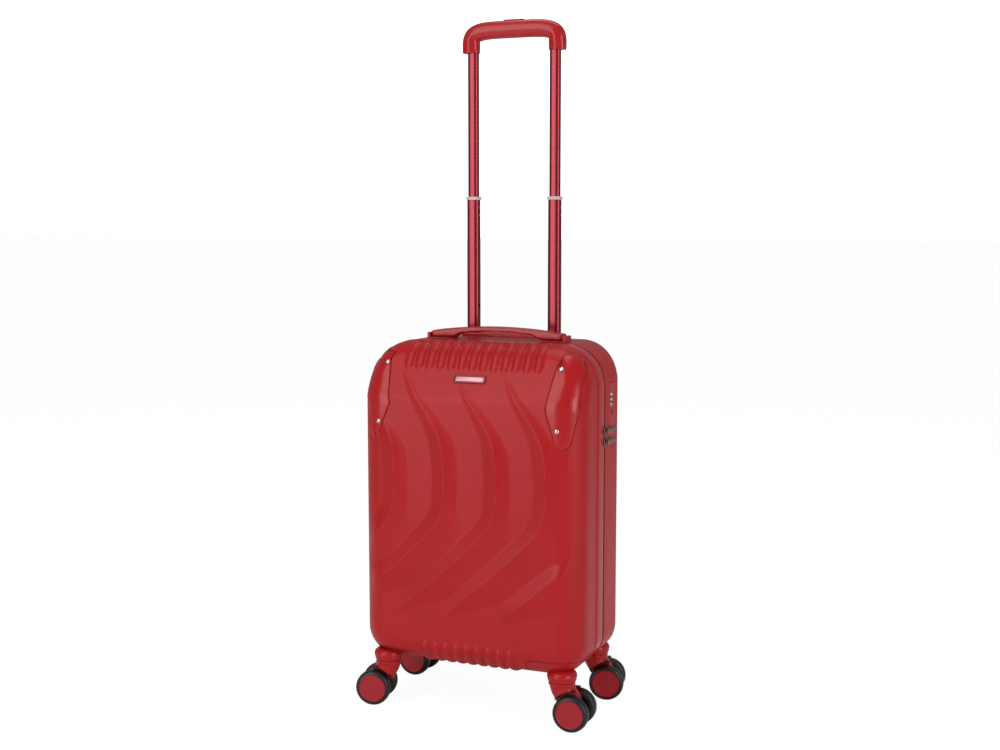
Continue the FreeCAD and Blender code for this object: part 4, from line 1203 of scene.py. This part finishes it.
# %% Forks
NECK_TOP = SWIVEL_Z
TRAIL = float(np.hypot(*(np.array(joints["front_left_outboard_wheel_spin"]["pos_m"])
                         - joints["front_left_swivel"]["pos_m"])[:2])) / MM
# Each level of the trunk: height, radius along the axle, radius ahead, shift ahead.
TRUNK = [(NECK_TOP, 18.6, 18.6, 0.0), (NECK_TOP - 0.4, 19.4, 19.4, 0.0), (NECK_TOP - 3.0, 19.6, 19.6, 0.0),
         (NECK_TOP - 3.5, 19.0, 19.0, 0.1), (NECK_TOP - 4.6, 18.6, 18.8, 0.3),
         (NECK_TOP - 8, 18.3, 18.9, 1.4), (NECK_TOP - 12, 18.4, 19.2, 3.0),
         (NECK_TOP - 16, 18.6, 19.5, 4.6), (NECK_TOP - 22, 18.2, 18.4, 6.8),
         (NECK_TOP - 30, 17.2, 16.4, 9.4)]
ARCH_IN, ARCH_OUT = WHEEL_RADIUS + 1.4, WHEEL_RADIUS + 4.2
ARCH_SIDE = 16.4
WEB_CLEAR = 7.4
ARCH_NEAR = 7.3
SLOT_TURNS = (88, 104, 120, 136)


def arc_slab(inner, outer, start, end, low, high, count=24):
    """Closed loft of an arched bar about the axle, from one angle to another above ahead."""
    turn = np.radians(np.linspace(start, end, count))
    across = np.array([(inner, low), (outer, low), (outer, high), (inner, high)])
    u = TRAIL + np.cos(turn)[:, None] * across[:, 0]
    w = WHEEL_RADIUS + np.sin(turn)[:, None] * across[:, 0]
    return np.stack([u, np.repeat(across[None, :, 1], count, axis=0), w], axis=-1)


def about_axle(profile, count):
    """A turned closed part about the axle, in the caster's own axes."""
    return turned(profile, count)[..., [0, 2, 1]] + [TRAIL, 0, WHEEL_RADIUS]


def fork_parts(swivel, ahead):
    """Trunk cut for the wheels, web with its boss, and the dark ribbed arch between them."""
    side = np.cross(Z_AXIS, ahead)
    base = swivel * [1, 1, 0]

    def local(points):
        return Surface().closed_loft(placed(points, base, ahead, side, Z_AXIS))

    c, s = circle(72)
    levels = [np.stack([shift + along * c, wide * s, np.full_like(c, z)], axis=-1)
              for z, wide, along, shift in TRUNK]
    trunk = make_object("fork_trunk", local(np.stack(levels)))
    for low, high in ((-30, -WEB_CLEAR), (WEB_CLEAR, 30)):
        arch = [(0.05, low), (ARCH_OUT, low), (ARCH_OUT, high), (0.05, high)]
        carve(trunk, [make_object("arch_tool", local(about_axle(arch, 72)))])
    web_corners = [(-13.0, NECK_TOP - 10, 3), (-10.0, NECK_TOP - 22, 5), (TRAIL - 10.5, WHEEL_RADIUS - 2, 6),
                   (TRAIL - 7, WHEEL_RADIUS - 9, 6), (TRAIL + 7, WHEEL_RADIUS - 9, 6),
                   (TRAIL + 10, WHEEL_RADIUS, 6), (TRAIL + 8, NECK_TOP - 20, 8), (19.5, NECK_TOP - 9, 4)]
    web = slab(rounded_outline(web_corners, 8), soft_edge(-7.5, 7.5, 1.0))
    web = local(web[..., [0, 2, 1]])
    boss = [(0.05, -9.6), (8.2, -9.6), (8.6, -9.2), (8.6, 9.2), (8.2, 9.6), (0.05, 9.6)]
    web.closed_loft(placed(about_axle(boss, 40), base, ahead, side, Z_AXIS))
    arches = Surface()
    for hand in (-1, 1):
        sides = sorted((hand * ARCH_NEAR, hand * ARCH_SIDE))
        thin = arc_slab(ARCH_OUT - 0.9, ARCH_OUT + 0.6, 82, 146, *sides)
        arches.closed_loft(placed(thin, base, ahead, side, Z_AXIS))
        for turn in SLOT_TURNS:
            rib = arc_slab(ARCH_IN, ARCH_OUT, turn - 1.6, turn + 1.6, *sides, 4)
            arches.closed_loft(placed(rib, base, ahead, side, Z_AXIS))
    return trunk, make_object("fork_web", web), make_object("fork_arch", arches)


for corner in CORNERS:
    swivel = joint_mm(corner + "_swivel")
    axle_point = joint_mm(corner + "_outboard_wheel_spin")
    ahead = unit((axle_point - swivel) * [1, 1, 0])
    for part, finish in zip(fork_parts(swivel, ahead), (moulding_red, moulding_red, core_black)):
        part.name = corner + "_" + part.name
        finish_piece(part, finish, corner + "_caster", [corner + "_fork"], sharp=34)

# %% [markdown]
# The handle's tubes are rounded oblongs with a real wall. A collar closes the mouth of each
# middle tube and small rivets below it hold it from both sides. The pin holes are drilled with
# a round tool.

# %% Tubes, collars and rivets
TUBE_X = 67.0
DRILL = [(0.05, 0), (2.9, 0), (2.9, 14), (0.05, 14)]
COLLAR_BORE = 9.05
HOLE_STEP = 105.0


def tube_surface(x, width, depth, radius, wall, low, high):
    outer = rectangle(width, depth, radius, (x, TUBE_Y), 8)
    steps = [(0.4, low), (0, low + 0.4), (0, (low + high) / 2), (0, high - 0.4), (0.4, high),
             (wall, high), (wall, low)]
    return Surface().ring_loft(slab(outer, steps))


def node_tube(node, name, finish, body, radius, wall, holes=()):
    low, high = box_mm(node)
    width, depth = high[0] - TUBE_X, high[1] - low[1]
    for side, hand in ((-1, "left"), (1, "right")):
        surface = tube_surface(side * TUBE_X, 2 * width, depth, radius, wall, low[2], high[2])
        piece = make_object("%s_%s" % (hand, name), surface)
        for hole_z in holes:
            drill = Surface()
            add_lathe(drill, DRILL, (side * TUBE_X, TUBE_Y, hole_z), -side * X_AXIS, 24)
            carve(piece, [make_object("drill", drill)])
        finish_piece(piece, finish, body, [node], sharp=30)


pin_low, pin_high = box_mm("left_lock_pin")
PIN_Z = (pin_low[2] + pin_high[2]) / 2
node_tube("upper_tubes", "upper_tube", tube_red, "upper_stage", 6.1, 1.2, [PIN_Z])
node_tube("middle_tubes", "middle_tube", tube_red, "middle_stage", 7.0, 1.2,
          [PIN_Z, PIN_Z - HOLE_STEP])
collar_low, collar_high = box_mm("tube_collars")
collar_grey = dark_moulding("collar_pale_plastic", rgb(196, 176, 178), rgb(180, 160, 162), 0.4, 900.0, 0.05)
collar_wall = (collar_high[0] - TUBE_X) - COLLAR_BORE
node_tube("tube_collars", "tube_collar", collar_grey, "middle_stage", 6.0, collar_wall)
RIVET = [(0.05, -1.0), (1.9, -1.0), (1.9, 0.05), (1.6, 0.14), (0.9, 0.2), (0.05, 0.22)]
middle_low, middle_high = box_mm("middle_tubes")
for side, hand in ((-1, "left"), (1, "right")):
    rivets = Surface()
    for rivet_z in (collar_low[2] - 11.0, collar_low[2] - 23.0):
        for face in (-1, 1):
            face_x = side * TUBE_X + face * (middle_high[0] - TUBE_X)
            add_lathe(rivets, RIVET, (face_x, TUBE_Y, rivet_z), face * X_AXIS, 20)
    finish_piece(make_object(hand + "_tube_rivets", rivets), bright_metal, "middle_stage", sharp=40)

# %% [markdown]
# The grip is a section carried along an arch. The arch is a flattened oval, so its legs come
# down over the tubes; the section is a lozenge with rounded corners, whose ridge runs along the
# middle of the face. The inner half is thinner at the bends, or it would cross itself there.

# %% Grip and release button
grip_low, grip_high = box_mm("grip")
GRIP_REACH, GRIP_POWER = 70.5, 5.0
GRIP_HALF, GRIP_DEPTH = 13.2, (grip_high[1] - grip_low[1]) / 2
GRIP_RISE = grip_high[2] - grip_low[2] - GRIP_HALF


def grip_path(count):
    """Points (x, z) of a flattened oval: cos and sin to the power 2/n, from foot to foot."""
    turn = np.linspace(np.pi, 0, count)
    c, s = np.cos(turn), np.sin(turn)
    x = GRIP_REACH * np.sign(c) * np.abs(c) ** (2 / GRIP_POWER)
    return np.stack([x, grip_low[2] + GRIP_RISE * np.abs(s) ** (2 / GRIP_POWER)], axis=1)


def grip_section(count):
    """(out, forward) round a lozenge: a square turned on its corner, softened to a ridge."""
    turn = np.arange(count) * 2 * np.pi / count
    c, s = np.cos(turn), np.sin(turn)
    size = (np.abs(c) ** 2.6 + np.abs(s) ** 2.6) ** (-1 / 2.6)
    ridge = 1 - 0.1 * (1 - np.abs(s) ** 14)
    return size * c, size * s * ridge


path = grip_path(400)
run = np.concatenate([[0], np.cumsum(np.linalg.norm(np.diff(path, axis=0), axis=1))])
even = np.linspace(0, run[-1], 160)
path = np.stack([np.interp(even, run, path[:, k]) for k in (0, 1)], axis=1)
along = np.gradient(path, axis=0)
along /= np.linalg.norm(along, axis=1)[:, None]
out_way = np.stack([-along[:, 1], along[:, 0]], axis=1)
turning = np.abs(np.gradient(np.unwrap(np.arctan2(along[:, 1], along[:, 0])))) / (even[1] - even[0])
room = np.minimum(GRIP_HALF, 0.85 / np.maximum(turning, 1e-6))
room = np.convolve(np.pad(room, 6, mode="edge"), np.ones(13) / 13, mode="valid")
section_out, section_forward = grip_section(64)
reach = np.where(section_out[None] > 0, GRIP_HALF, room[:, None]) * section_out[None]
foot = np.minimum(even, even[-1] - even)[:, None]
swell = 0.86 + 0.14 * soft_step(foot, 0, 14)
points = np.stack([path[:, :1] + out_way[:, :1] * reach, TUBE_Y + GRIP_DEPTH * swell * section_forward[None],
                   path[:, 1:] + out_way[:, 1:] * reach], axis=-1)
grip = make_object("grip_moulding", Surface().closed_loft(points))
button_low, button_high = box_mm("release_button")
button_size = button_high - button_low
well = rectangle(button_size[0] + 0.8, button_size[1] + 0.8, button_size[1] / 2, (0, TUBE_Y), 10)
carve(grip, [slab_tool(well, button_low[2] - 4.5, button_high[2] + 6, IN_PLAN)])
finish_piece(grip, grip_red, "upper_stage", ["grip"], sharp=34)
button_outline = rectangle(button_size[0], button_size[1], button_size[1] / 2 - 0.3, (0, TUBE_Y), 10)
button_top = button_high[2]
button_steps = [(0, button_low[2]), (0, button_top - 0.9), (0.4, button_top - 0.3), (1.0, button_top),
                (2.2, button_top - 0.1), (4.0, button_top - 0.7), (5.6, button_top - 0.9)]
button = slab_piece("release_button_cap", button_outline, button_steps, IN_PLAN)
finish_piece(button, moulding_red, "release_button", ["release_button"], sharp=40)

# %% [markdown]
# The bezel closes the top of the handle's tubes and the brackets hold the carry handle. The
# bezel is a slab with a rounded rim and two holes; each hole is the outline of the tube that
# slides in it, moved out by a little clearance.

# %% Handle bezel
tube_wide, tube_deep = 2 * (middle_high[0] - TUBE_X), middle_high[1] - middle_low[1]
rim_top = bezel_high[2]
bezel_steps = [(0.4, bezel_low[2]), (0.4, TOP + 0.3), (0.0, TOP + 0.3), (0.0, rim_top - 2.2),
               (0.4, rim_top - 1.0), (1.3, rim_top - 0.2), (2.4, rim_top), (4.5, rim_top),
               (5.0, rim_top - 0.5), (6.5, rim_top - 0.6)]
bezel = slab_piece("handle_bezel_moulding", bezel_outline, bezel_steps, IN_PLAN)
TUBE_GAP = 0.6
tube_holes = [rectangle(tube_wide + TUBE_GAP, tube_deep + TUBE_GAP, 5.7, (side * TUBE_X, TUBE_Y), 8)
              for side in (-1, 1)]
carve(bezel, [slab_tool(hole, bezel_low[2] - 5, rim_top + 5, IN_PLAN) for hole in tube_holes])
finish_piece(bezel, moulding_red, "rear_half", ["handle_bezel"], sharp=30)

# %% [markdown]
# The carry handle is one soft moulding: a strap that rises to the middle, with a thick foot at
# each end whose inner side is cut at a slope. It is a rounded section carried along X. Only the
# top and bottom heights change on the way: a parabola on top, and below the larger of the
# strap's underside and a straight slope down to the foot.

# %% Carry handle
carry_low, carry_high = box_mm("carry_handle")
CARRY_HALF = carry_high[0]
CARRY_Y = (carry_low[1] + carry_high[1]) / 2
CARRY_STRAP = 7.0
CARRY_CROWN = 7.6
OPENING_HALF, FOOT_SLOPE = 57.0, 12.0


def carry_section(width, low, high, count=12):
    """Rings of a rounded oblong in (y, z); low, high and width have one value for each ring."""
    turn = np.linspace(0, 2 * np.pi, 4 * count, endpoint=False)
    c, s = np.cos(turn), np.sin(turn)
    size = (np.abs(c) ** 6 + np.abs(s) ** 6) ** (-1 / 6)
    y = CARRY_Y + width[:, None] / 2 * (size * c)[None]
    z = (low + high)[:, None] / 2 + (high - low)[:, None] / 2 * (size * s)[None]
    return y, z


ends = CARRY_HALF - np.array([0.0, 0.3, 1.0, 2.2, 4.0])
inner_run = np.linspace(-ends[-1], ends[-1], 150)[1:-1]
carry_x = np.concatenate([-ends, inner_run, ends[::-1]])
share = np.abs(carry_x) / CARRY_HALF
carry_top = carry_high[2] - CARRY_CROWN * share**2
strap_under = carry_top - CARRY_STRAP - 1.2 * soft_step(np.abs(carry_x), 20, OPENING_HALF)
slope_z = carry_low[2] + (OPENING_HALF + FOOT_SLOPE - np.abs(carry_x)) * 0.55
carry_under = np.where(np.abs(carry_x) < OPENING_HALF, strap_under,
                       np.minimum(strap_under, np.maximum(slope_z, carry_low[2])))
closing = np.clip((CARRY_HALF - np.abs(carry_x)) / 4.0, 0, 1)
rounding = 1.0 - 0.16 * (1 - np.sqrt(1 - (1 - closing) ** 2))
middle = (carry_top + carry_under) / 2
half_rise = (carry_top - carry_under) / 2 * rounding
carry_width = (carry_high[1] - carry_low[1]) * rounding * (0.93 + 0.07 * soft_step(np.abs(carry_x), 30, 80))
section_y, section_z = carry_section(carry_width, middle - half_rise, middle + half_rise)
section_x = np.repeat(carry_x[:, None], section_y.shape[1], axis=1)
carry_points = np.stack([section_x, section_y, section_z], axis=-1)
carry = make_object("carry_handle_strap", Surface().closed_loft(carry_points))
finish_piece(carry, grip_red, "carry_handle", ["carry_handle"], sharp=36)

# %% [markdown]
# The lock is a slab let into the side, with a fine raised border. Three dial slots, a button
# hole and a key hole are cut in it. A dial is a turned disc whose rim is a ring of scallops:
# its radius is the plain one less a cosine of the turn, and it shows through its slot.

# %% Lock
FACE_X = lock_high[0]
lock_outline = rectangle(LOCK_WIDE, LOCK_TALL, 6.0, (LOCK_Y, LOCK_Z), 8)
lock_steps = [(0.2, lock_low[0]), (0.2, FACE_X - 1.2), (0.5, FACE_X - 0.4), (1.0, FACE_X),
              (2.0, FACE_X), (2.4, FACE_X - 0.45), (4.0, FACE_X - 0.45)]
lock = slab_piece("lock_housing", lock_outline, lock_steps, IN_SIDE_VIEW)
KEY_Z = lock_low[2] + 12.0
dial_boxes = [box_mm("lock_dial_%d" % number) for number in (1, 2, 3)]
DIAL_Y = (dial_boxes[0][0][1] + dial_boxes[0][1][1]) / 2
DIAL_RADIUS = (dial_boxes[0][1][1] - dial_boxes[0][0][1]) / 2
DIAL_X = dial_boxes[0][0][0] + DIAL_RADIUS
tools = []
for low, high in dial_boxes:
    slot_place = (DIAL_Y, (low[2] + high[2]) / 2)
    slot_outline = rectangle(2 * DIAL_RADIUS + 1.2, high[2] - low[2] + 1.0, 1.2, slot_place, 4)
    tools.append(slab_tool(slot_outline, lock_low[0] + 1.5, FACE_X + 5, IN_SIDE_VIEW))
lock_button_low, lock_button_high = box_mm("lock_button")
BUTTON_Y, BUTTON_Z = ((lock_button_low + lock_button_high) / 2)[1:]
BUTTON_RADIUS = (lock_button_high[1] - lock_button_low[1]) / 2
for y, z, radius, low in ((BUTTON_Y, BUTTON_Z, BUTTON_RADIUS + 0.35, lock_button_low[0] - 4.0),
                          (LOCK_Y, KEY_Z, 3.6, FACE_X - 2.0)):
    round_tool = Surface()
    add_lathe(round_tool, [(0.05, 0), (radius, 0), (radius, 20), (0.05, 20)], (low, y, z), X_AXIS, 32)
    tools.append(make_object("round_tool", round_tool))
carve(lock, tools)
finish_piece(lock, lock_red, "rear_half", ["lock_body"], sharp=24)
key_plate = Surface()
key_profile = [(0.05, 0), (3.4, 0), (3.4, 1.3), (3.0, 1.6), (2.4, 1.4), (0.05, 1.4)]
add_lathe(key_plate, key_profile, (FACE_X - 1.9, LOCK_Y, KEY_Z), X_AXIS, 32)
key_plate = make_object("key_cylinder_face", key_plate)
key_slot = rectangle(0.8, 3.4, 0.3, (LOCK_Y, KEY_Z), 3)
carve(key_plate, [slab_tool(key_slot, FACE_X - 1.2, FACE_X + 2, IN_SIDE_VIEW)])
finish_piece(key_plate, nickel, "rear_half", sharp=30)

SCALLOPS = 10
for number, (low, high) in enumerate(dial_boxes, start=1):
    half = (high[2] - low[2]) / 2
    profile = [(2.1, -half), (DIAL_RADIUS - 0.9, -half), (DIAL_RADIUS - 0.2, 0.5 - half), (DIAL_RADIUS, 0.0),
               (DIAL_RADIUS - 0.2, half - 0.5), (DIAL_RADIUS - 0.9, half), (2.1, half)]
    rings = turned(profile, 120)
    turn = np.arctan2(rings[..., 1], rings[..., 0])
    depth = np.where(np.hypot(rings[..., 0], rings[..., 1]) > 4, 0.045 * (1 - np.cos(SCALLOPS * turn)), 0)
    rings[..., :2] *= (1 - depth)[..., None]
    dial = Surface().ring_loft(rings + [DIAL_X, DIAL_Y, (low[2] + high[2]) / 2])
    dial = make_object("number_dial_%d" % number, dial)
    finish_piece(dial, dial_silver, "lock_dial_%d" % number, ["lock_dial_%d" % number], sharp=40)

button_rise = lock_button_high[0] - lock_button_low[0]
lock_button = Surface()
button_profile = [(0.05, 0), (BUTTON_RADIUS, 0), (BUTTON_RADIUS, button_rise - 0.7),
                  (BUTTON_RADIUS - 0.3, button_rise - 0.2), (BUTTON_RADIUS - 1.0, button_rise),
                  (BUTTON_RADIUS - 1.8, button_rise - 0.1), (1.0, button_rise - 0.5),
                  (0.05, button_rise - 0.55)]
add_lathe(lock_button, button_profile, (lock_button_low[0], BUTTON_Y, BUTTON_Z), X_AXIS, 40)
lock_button = make_object("lock_button_cap", lock_button)
finish_piece(lock_button, lock_red, "lock_button", ["lock_button"], sharp=40)

# %% [markdown]
# A zip slider is a shield-shaped plate over the teeth with a bridge on top; the tab hangs in
# the bridge. The bridge is a bent bar, so it is a section carried along half a stadium. The
# tab is a thin slab with a window near its loop and a round hole at its free end.

# %% Zip sliders and tabs


def bridge_loop(x0, y, z, reach, rise, thick, wide):
    """Bar bent over the plate: it runs up, along Z and down again, square in section."""
    turn = np.linspace(0, np.pi, 28)
    c, s = np.cos(turn), np.sin(turn)
    size = (np.abs(c) ** 4 + np.abs(s) ** 4) ** -0.25
    ring = []
    for grow, side in ((0, -1), (thick, -1), (thick, 1), (0, 1)):
        ring.append(np.stack([x0 + (rise + grow) * size * s, np.full_like(c, y + side * wide / 2),
                              z + (reach + grow) * size * c], axis=-1))
    return np.stack(ring, axis=1)


for name in ("upper", "lower"):
    low, high = box_mm(name + "_zip_slider")
    tab_low, tab_high = box_mm(name + "_pull_tab")
    y, z = (low[1] + high[1]) / 2, (low[2] + high[2]) / 2
    half_y, half_z = (high[1] - low[1]) / 2, (high[2] - low[2]) / 2
    shield = rounded_outline([(y - half_y * 0.72, z - half_z, 2), (y + half_y * 0.72, z - half_z, 2),
                              (y + half_y, z + half_z * 0.3, 3), (y + half_y * 0.8, z + half_z, 2.5),
                              (y - half_y * 0.8, z + half_z, 2.5), (y - half_y, z + half_z * 0.3, 3)], 5)
    plate = slab(shield, soft_edge(low[0], low[0] + 1.5, 0.5))
    slider = Surface().closed_loft(placed(plate, (0, 0, 0), *IN_SIDE_VIEW))
    half_tab = (tab_high[2] - tab_low[2]) / 2
    slider.closed_loft(bridge_loop(low[0] + 1.0, y, z, half_tab + 0.5, 3.2, 1.0, 3.2))
    slider = make_object(name + "_zip_slider_body", slider)
    finish_piece(slider, nickel, name + "_zip_slider", [name + "_zip_slider"], sharp=34)
    tab_y0, tab_y1 = tab_low[1] + 0.4, tab_high[1]
    tab_outline = rounded_outline([(tab_y0, z - half_tab, 1.5), (tab_y0 + 13, z - half_tab, 4),
                                   (tab_y0 + 17, z - half_tab + 1.4, 5), (tab_y1 - 9, z - half_tab + 1.4, 6),
                                   (tab_y1 - 5, z - half_tab, 4), (tab_y1, z - half_tab, 3.2),
                                   (tab_y1, z + half_tab, 3.2), (tab_y1 - 5, z + half_tab, 4),
                                   (tab_y1 - 9, z + half_tab - 1.4, 6), (tab_y0 + 17, z + half_tab - 1.4, 5),
                                   (tab_y0 + 13, z + half_tab, 4), (tab_y0, z + half_tab, 1.5)], 5)
    tab_x = (low[0] + high[0]) / 2 + 0.9
    tab_steps = soft_edge(tab_x - 0.6, tab_x + 0.6, 0.3)
    tab = slab_piece(name + "_tab_plate", tab_outline, tab_steps, IN_SIDE_VIEW)
    window = rectangle(3.4, 2 * half_tab - 3.2, 1.0, (tab_y0 + 3.2, z), 4)
    end_hole = Surface()
    add_lathe(end_hole, [(0.05, -4), (1.3, -4), (1.3, 4), (0.05, 4)], (tab_x, tab_y1 - 3.4, z), X_AXIS, 24)
    carve(tab, [slab_tool(window, tab_x - 4, tab_x + 4, IN_SIDE_VIEW), make_object("end_hole", end_hole)])
    finish_piece(tab, nickel, name + "_pull_tab", [name + "_pull_tab"], sharp=34)

# %% [markdown]
# Inside, each half has a cloth lining on a thin formed tray. It follows the shell at a constant
# distance, and in the rear half it is cut off flat over the handle's tubes: the depth is the
# shell's own, held at a limit.

# %% Linings
LINING_GAP, LINING_THICK = 3.7, 1.5


def lining_tray(depth, edges, rim_y, limits):
    """Closed tray between two skins; limits are the deepest Y of the far and near skin."""
    surface = Surface()
    rims = []
    for shift, limit in ((LINING_GAP, limits[0]), (LINING_GAP + LINING_THICK, limits[1])):
        def held(flat, inset, radius, limit=limit, shift=shift):
            y = depth(flat, inset, radius)
            return np.clip(y, -limit - shift, limit + shift) if limit else y

        rims.append(skin(surface, held, edges, [(0.0, rim_y)], 64, 88, 16, shift=shift))
    surface.cells(np.stack(rims), wrap_v=True)
    return surface


front_lining_box, rear_lining_box = box_mm("front_lining"), box_mm("rear_lining")
front_tray = lining_tray(front_depth, FRONT_EDGES, front_lining_box[1][1], (None, None))
front_tray = make_object("front_lining_tray", front_tray)
rear_tray = lining_tray(rear_depth, REAR_EDGES, rear_lining_box[0][1],
                        (rear_lining_box[1][1], rear_lining_box[1][1] - LINING_THICK))
rear_tray = make_object("rear_lining_tray", rear_tray)
finish_piece(front_tray, lining_grey, "front_half", ["front_lining"], sharp=50)
finish_piece(rear_tray, lining_grey, "rear_half", ["rear_lining"], sharp=50)

# %% [markdown]
# Two straps cross in the rear half, as four arms that meet in a buckle. An arm is webbing: a straight ribbon
# with a slight ripple, doubled for its thickness. The buckle is a black plate with two windows.

# %% Packing straps
strap_low, strap_high = box_mm("packing_straps")
STRAP_WIDE, STRAP_THICK = 25.0, 1.4
strap_z = (strap_low[2] + strap_high[2]) / 2
REACH_X = strap_high[0] - 10.7
REACH_Z = (strap_high[2] - strap_low[2]) / 2 - 6.4
BUCKLE_HALF_X, BUCKLE_HALF_Z = 23.0, 17.0
strap_length = math.hypot(REACH_X, REACH_Z)
STRAP_START = BUCKLE_HALF_Z + 1.0


def strap_arm(turn):
    """Ribbon from the buckle outwards: grid over length and width, doubled for its thickness."""
    run, side = np.meshgrid(np.linspace(STRAP_START, strap_length, 60),
                            np.linspace(-STRAP_WIDE / 2, STRAP_WIDE / 2, 9), indexing="ij")
    sag = 0.35 * np.sin(run / 17.0) + 0.15 * np.cos(side / 3.0)
    x = run * math.cos(turn) - side * math.sin(turn)
    z = strap_z + run * math.sin(turn) + side * math.cos(turn)
    surface = Surface()
    near, far = [surface.add(np.stack([x, strap_high[1] - 0.6 - thick + sag, z], axis=-1))
                 for thick in (0.0, STRAP_THICK)]
    surface.cells(near)
    surface.cells(far)
    for border in BORDERS:
        surface.cells(np.stack([near[border], far[border]]))
    return surface


slope_turn = math.atan2(REACH_Z, REACH_X)
arms = {"upper_right": slope_turn, "upper_left": math.pi - slope_turn,
        "lower_left": math.pi + slope_turn, "lower_right": -slope_turn}
for arm_name, turn in arms.items():
    arm = make_object(arm_name + "_strap", strap_arm(turn))
    finish_piece(arm, strap_black, "rear_half", ["packing_straps"], sharp=60)
buckle_outline = rectangle(2 * BUCKLE_HALF_X, 2 * BUCKLE_HALF_Z, 6.0, (0.0, strap_z), 7)
buckle_face = -strap_low[1]
buckle_steps = soft_edge(-strap_high[1], buckle_face, 1.6)
buckle = slab_piece("strap_buckle", buckle_outline, buckle_steps, IN_FRONT_VIEW)
window_outline = rectangle(9.0, 20.0, 2.0, (0.0, 0.0), 5)
windows = [slab_tool(window_outline + [side * 12.0, strap_z], buckle_face - 2.0, buckle_face + 4,
                     IN_FRONT_VIEW)
           for side in (-1, 1)]
carve(buckle, windows)
finish_piece(buckle, core_black, "rear_half", ["packing_straps"], sharp=34)

# %% [markdown]
# The pieces that already have their real shape stay as they are in the engineering model and
# only take a finish: plates, rods and the tubes hidden inside the case.

# %% Finishes for the pieces kept from the frame


def dress(node, finish):
    """Put a finish in each material slot of a piece kept from the frame."""
    for slot in bpy.data.objects[node].material_slots:
        slot.material = finish


dress("carry_handle_brackets", moulding_red)
dress("handle_base", core_black)
for node in ["fixed_tubes", "push_rods", "left_lock_pin", "right_lock_pin"] + [c + "_axle" for c in CORNERS]:
    dress(node, steel)
print("kept pieces finished")


# %% [markdown]
# A plain pale floor and soft light: a tall panel in front on the left, a wide one above it, a
# tall one on the right and one overhead, with a pale sky that fills the shadows. Floor and sky
# are set to look white where the camera sees them and to give less light than that.

# %% Floor, light and camera
FLOOR_HALF = 40.0
FLOOR_GLOW = 0.86
FLOOR_STRENGTH = 1.1
SKY_LIGHT = 0.3
SKY_SEEN = 1.6
WHITE = (1.0, 1.0, 1.0, 1.0)
LENS_MM, SENSOR_MM = 51.34, 36.0
CAMERA_PLACE = (0.82652, -1.95619, 0.73594)
CAMERA_TILT, CAMERA_TURN = 83.625, 22.607


def panel(name, place, aim, size, power):
    light = bpy.data.lights.new(name, "AREA")
    light.shape = "RECTANGLE"
    light.size, light.size_y = size
    light.energy = power
    lamp = bpy.data.objects.new(name, light)
    bpy.context.scene.collection.objects.link(lamp)
    lamp.location = place
    way = Vector(aim) - Vector(place)
    lamp.rotation_euler = way.to_track_quat("-Z", "Y").to_euler()
    return lamp


floor_points = np.array([[(-FLOOR_HALF, -FLOOR_HALF, 0), (-FLOOR_HALF, FLOOR_HALF, 0)],
                         [(FLOOR_HALF, -FLOOR_HALF, 0), (FLOOR_HALF, FLOOR_HALF, 0)]]) / MM
floor_surface = Surface()
floor_surface.cells(floor_surface.add(floor_points))
floor = make_object("floor", floor_surface)
floor_finish = Finish("floor_pale", Roughness=0.8)
floor_cloud = floor_finish.noise(3.0)
floor_finish.set("Base Color", floor_finish.mixed(floor_cloud, rgb(250, 250, 250), rgb(246, 246, 247)))
glow = floor_finish.node("Emission", {"Color": WHITE, "Strength": FLOOR_STRENGTH})
seen = floor_finish.node("LightPath", out="Is Camera Ray") * FLOOR_GLOW
plain = Signal(floor_finish, floor_finish.shader.outputs[0])
blend = floor_finish.node("MixShader", {0: seen, 1: plain, 2: glow})
floor_finish.link(blend, floor_finish.tree.nodes["Material Output"].inputs["Surface"])
floor.data.materials.append(floor_finish.material)

panel("key", (-1.05, -2.45, 0.95), (0.0, 0.0, 0.35), (1.15, 1.9), 26.0)
panel("upper", (-0.7, -1.7, 2.3), (0.0, 0.0, 0.5), (1.5, 1.1), 16.0)
panel("side", (2.3, -0.9, 1.0), (0.0, 0.0, 0.35), (0.8, 1.6), 25.0)
panel("top", (0.0, 0.3, 2.6), (0.0, 0.0, 0.4), (1.4, 1.2), 12.0)

# The sky is plain white where it is seen and dimmer where it lights the case.
world = bpy.data.worlds.new("studio")
world.use_nodes = True
sky = world.node_tree
rays = sky.nodes.new("ShaderNodeLightPath")
level = sky.nodes.new("ShaderNodeMapRange")
level.inputs["To Min"].default_value = SKY_LIGHT
level.inputs["To Max"].default_value = SKY_SEEN
sky.links.new(rays.outputs["Is Camera Ray"], level.inputs["Value"])
sky.links.new(level.outputs["Result"], sky.nodes["Background"].inputs["Strength"])
sky.nodes["Background"].inputs["Color"].default_value = WHITE
bpy.context.scene.world = world
bpy.context.scene.view_settings.view_transform = "Standard"

camera_data = bpy.data.cameras.new("camera")
camera_data.lens = LENS_MM
camera_data.sensor_width = SENSOR_MM
camera = bpy.data.objects.new("camera", camera_data)
bpy.context.scene.collection.objects.link(camera)
camera.location = CAMERA_PLACE
camera.rotation_euler = (math.radians(CAMERA_TILT), 0.0, math.radians(CAMERA_TURN))
bpy.context.scene.camera = camera
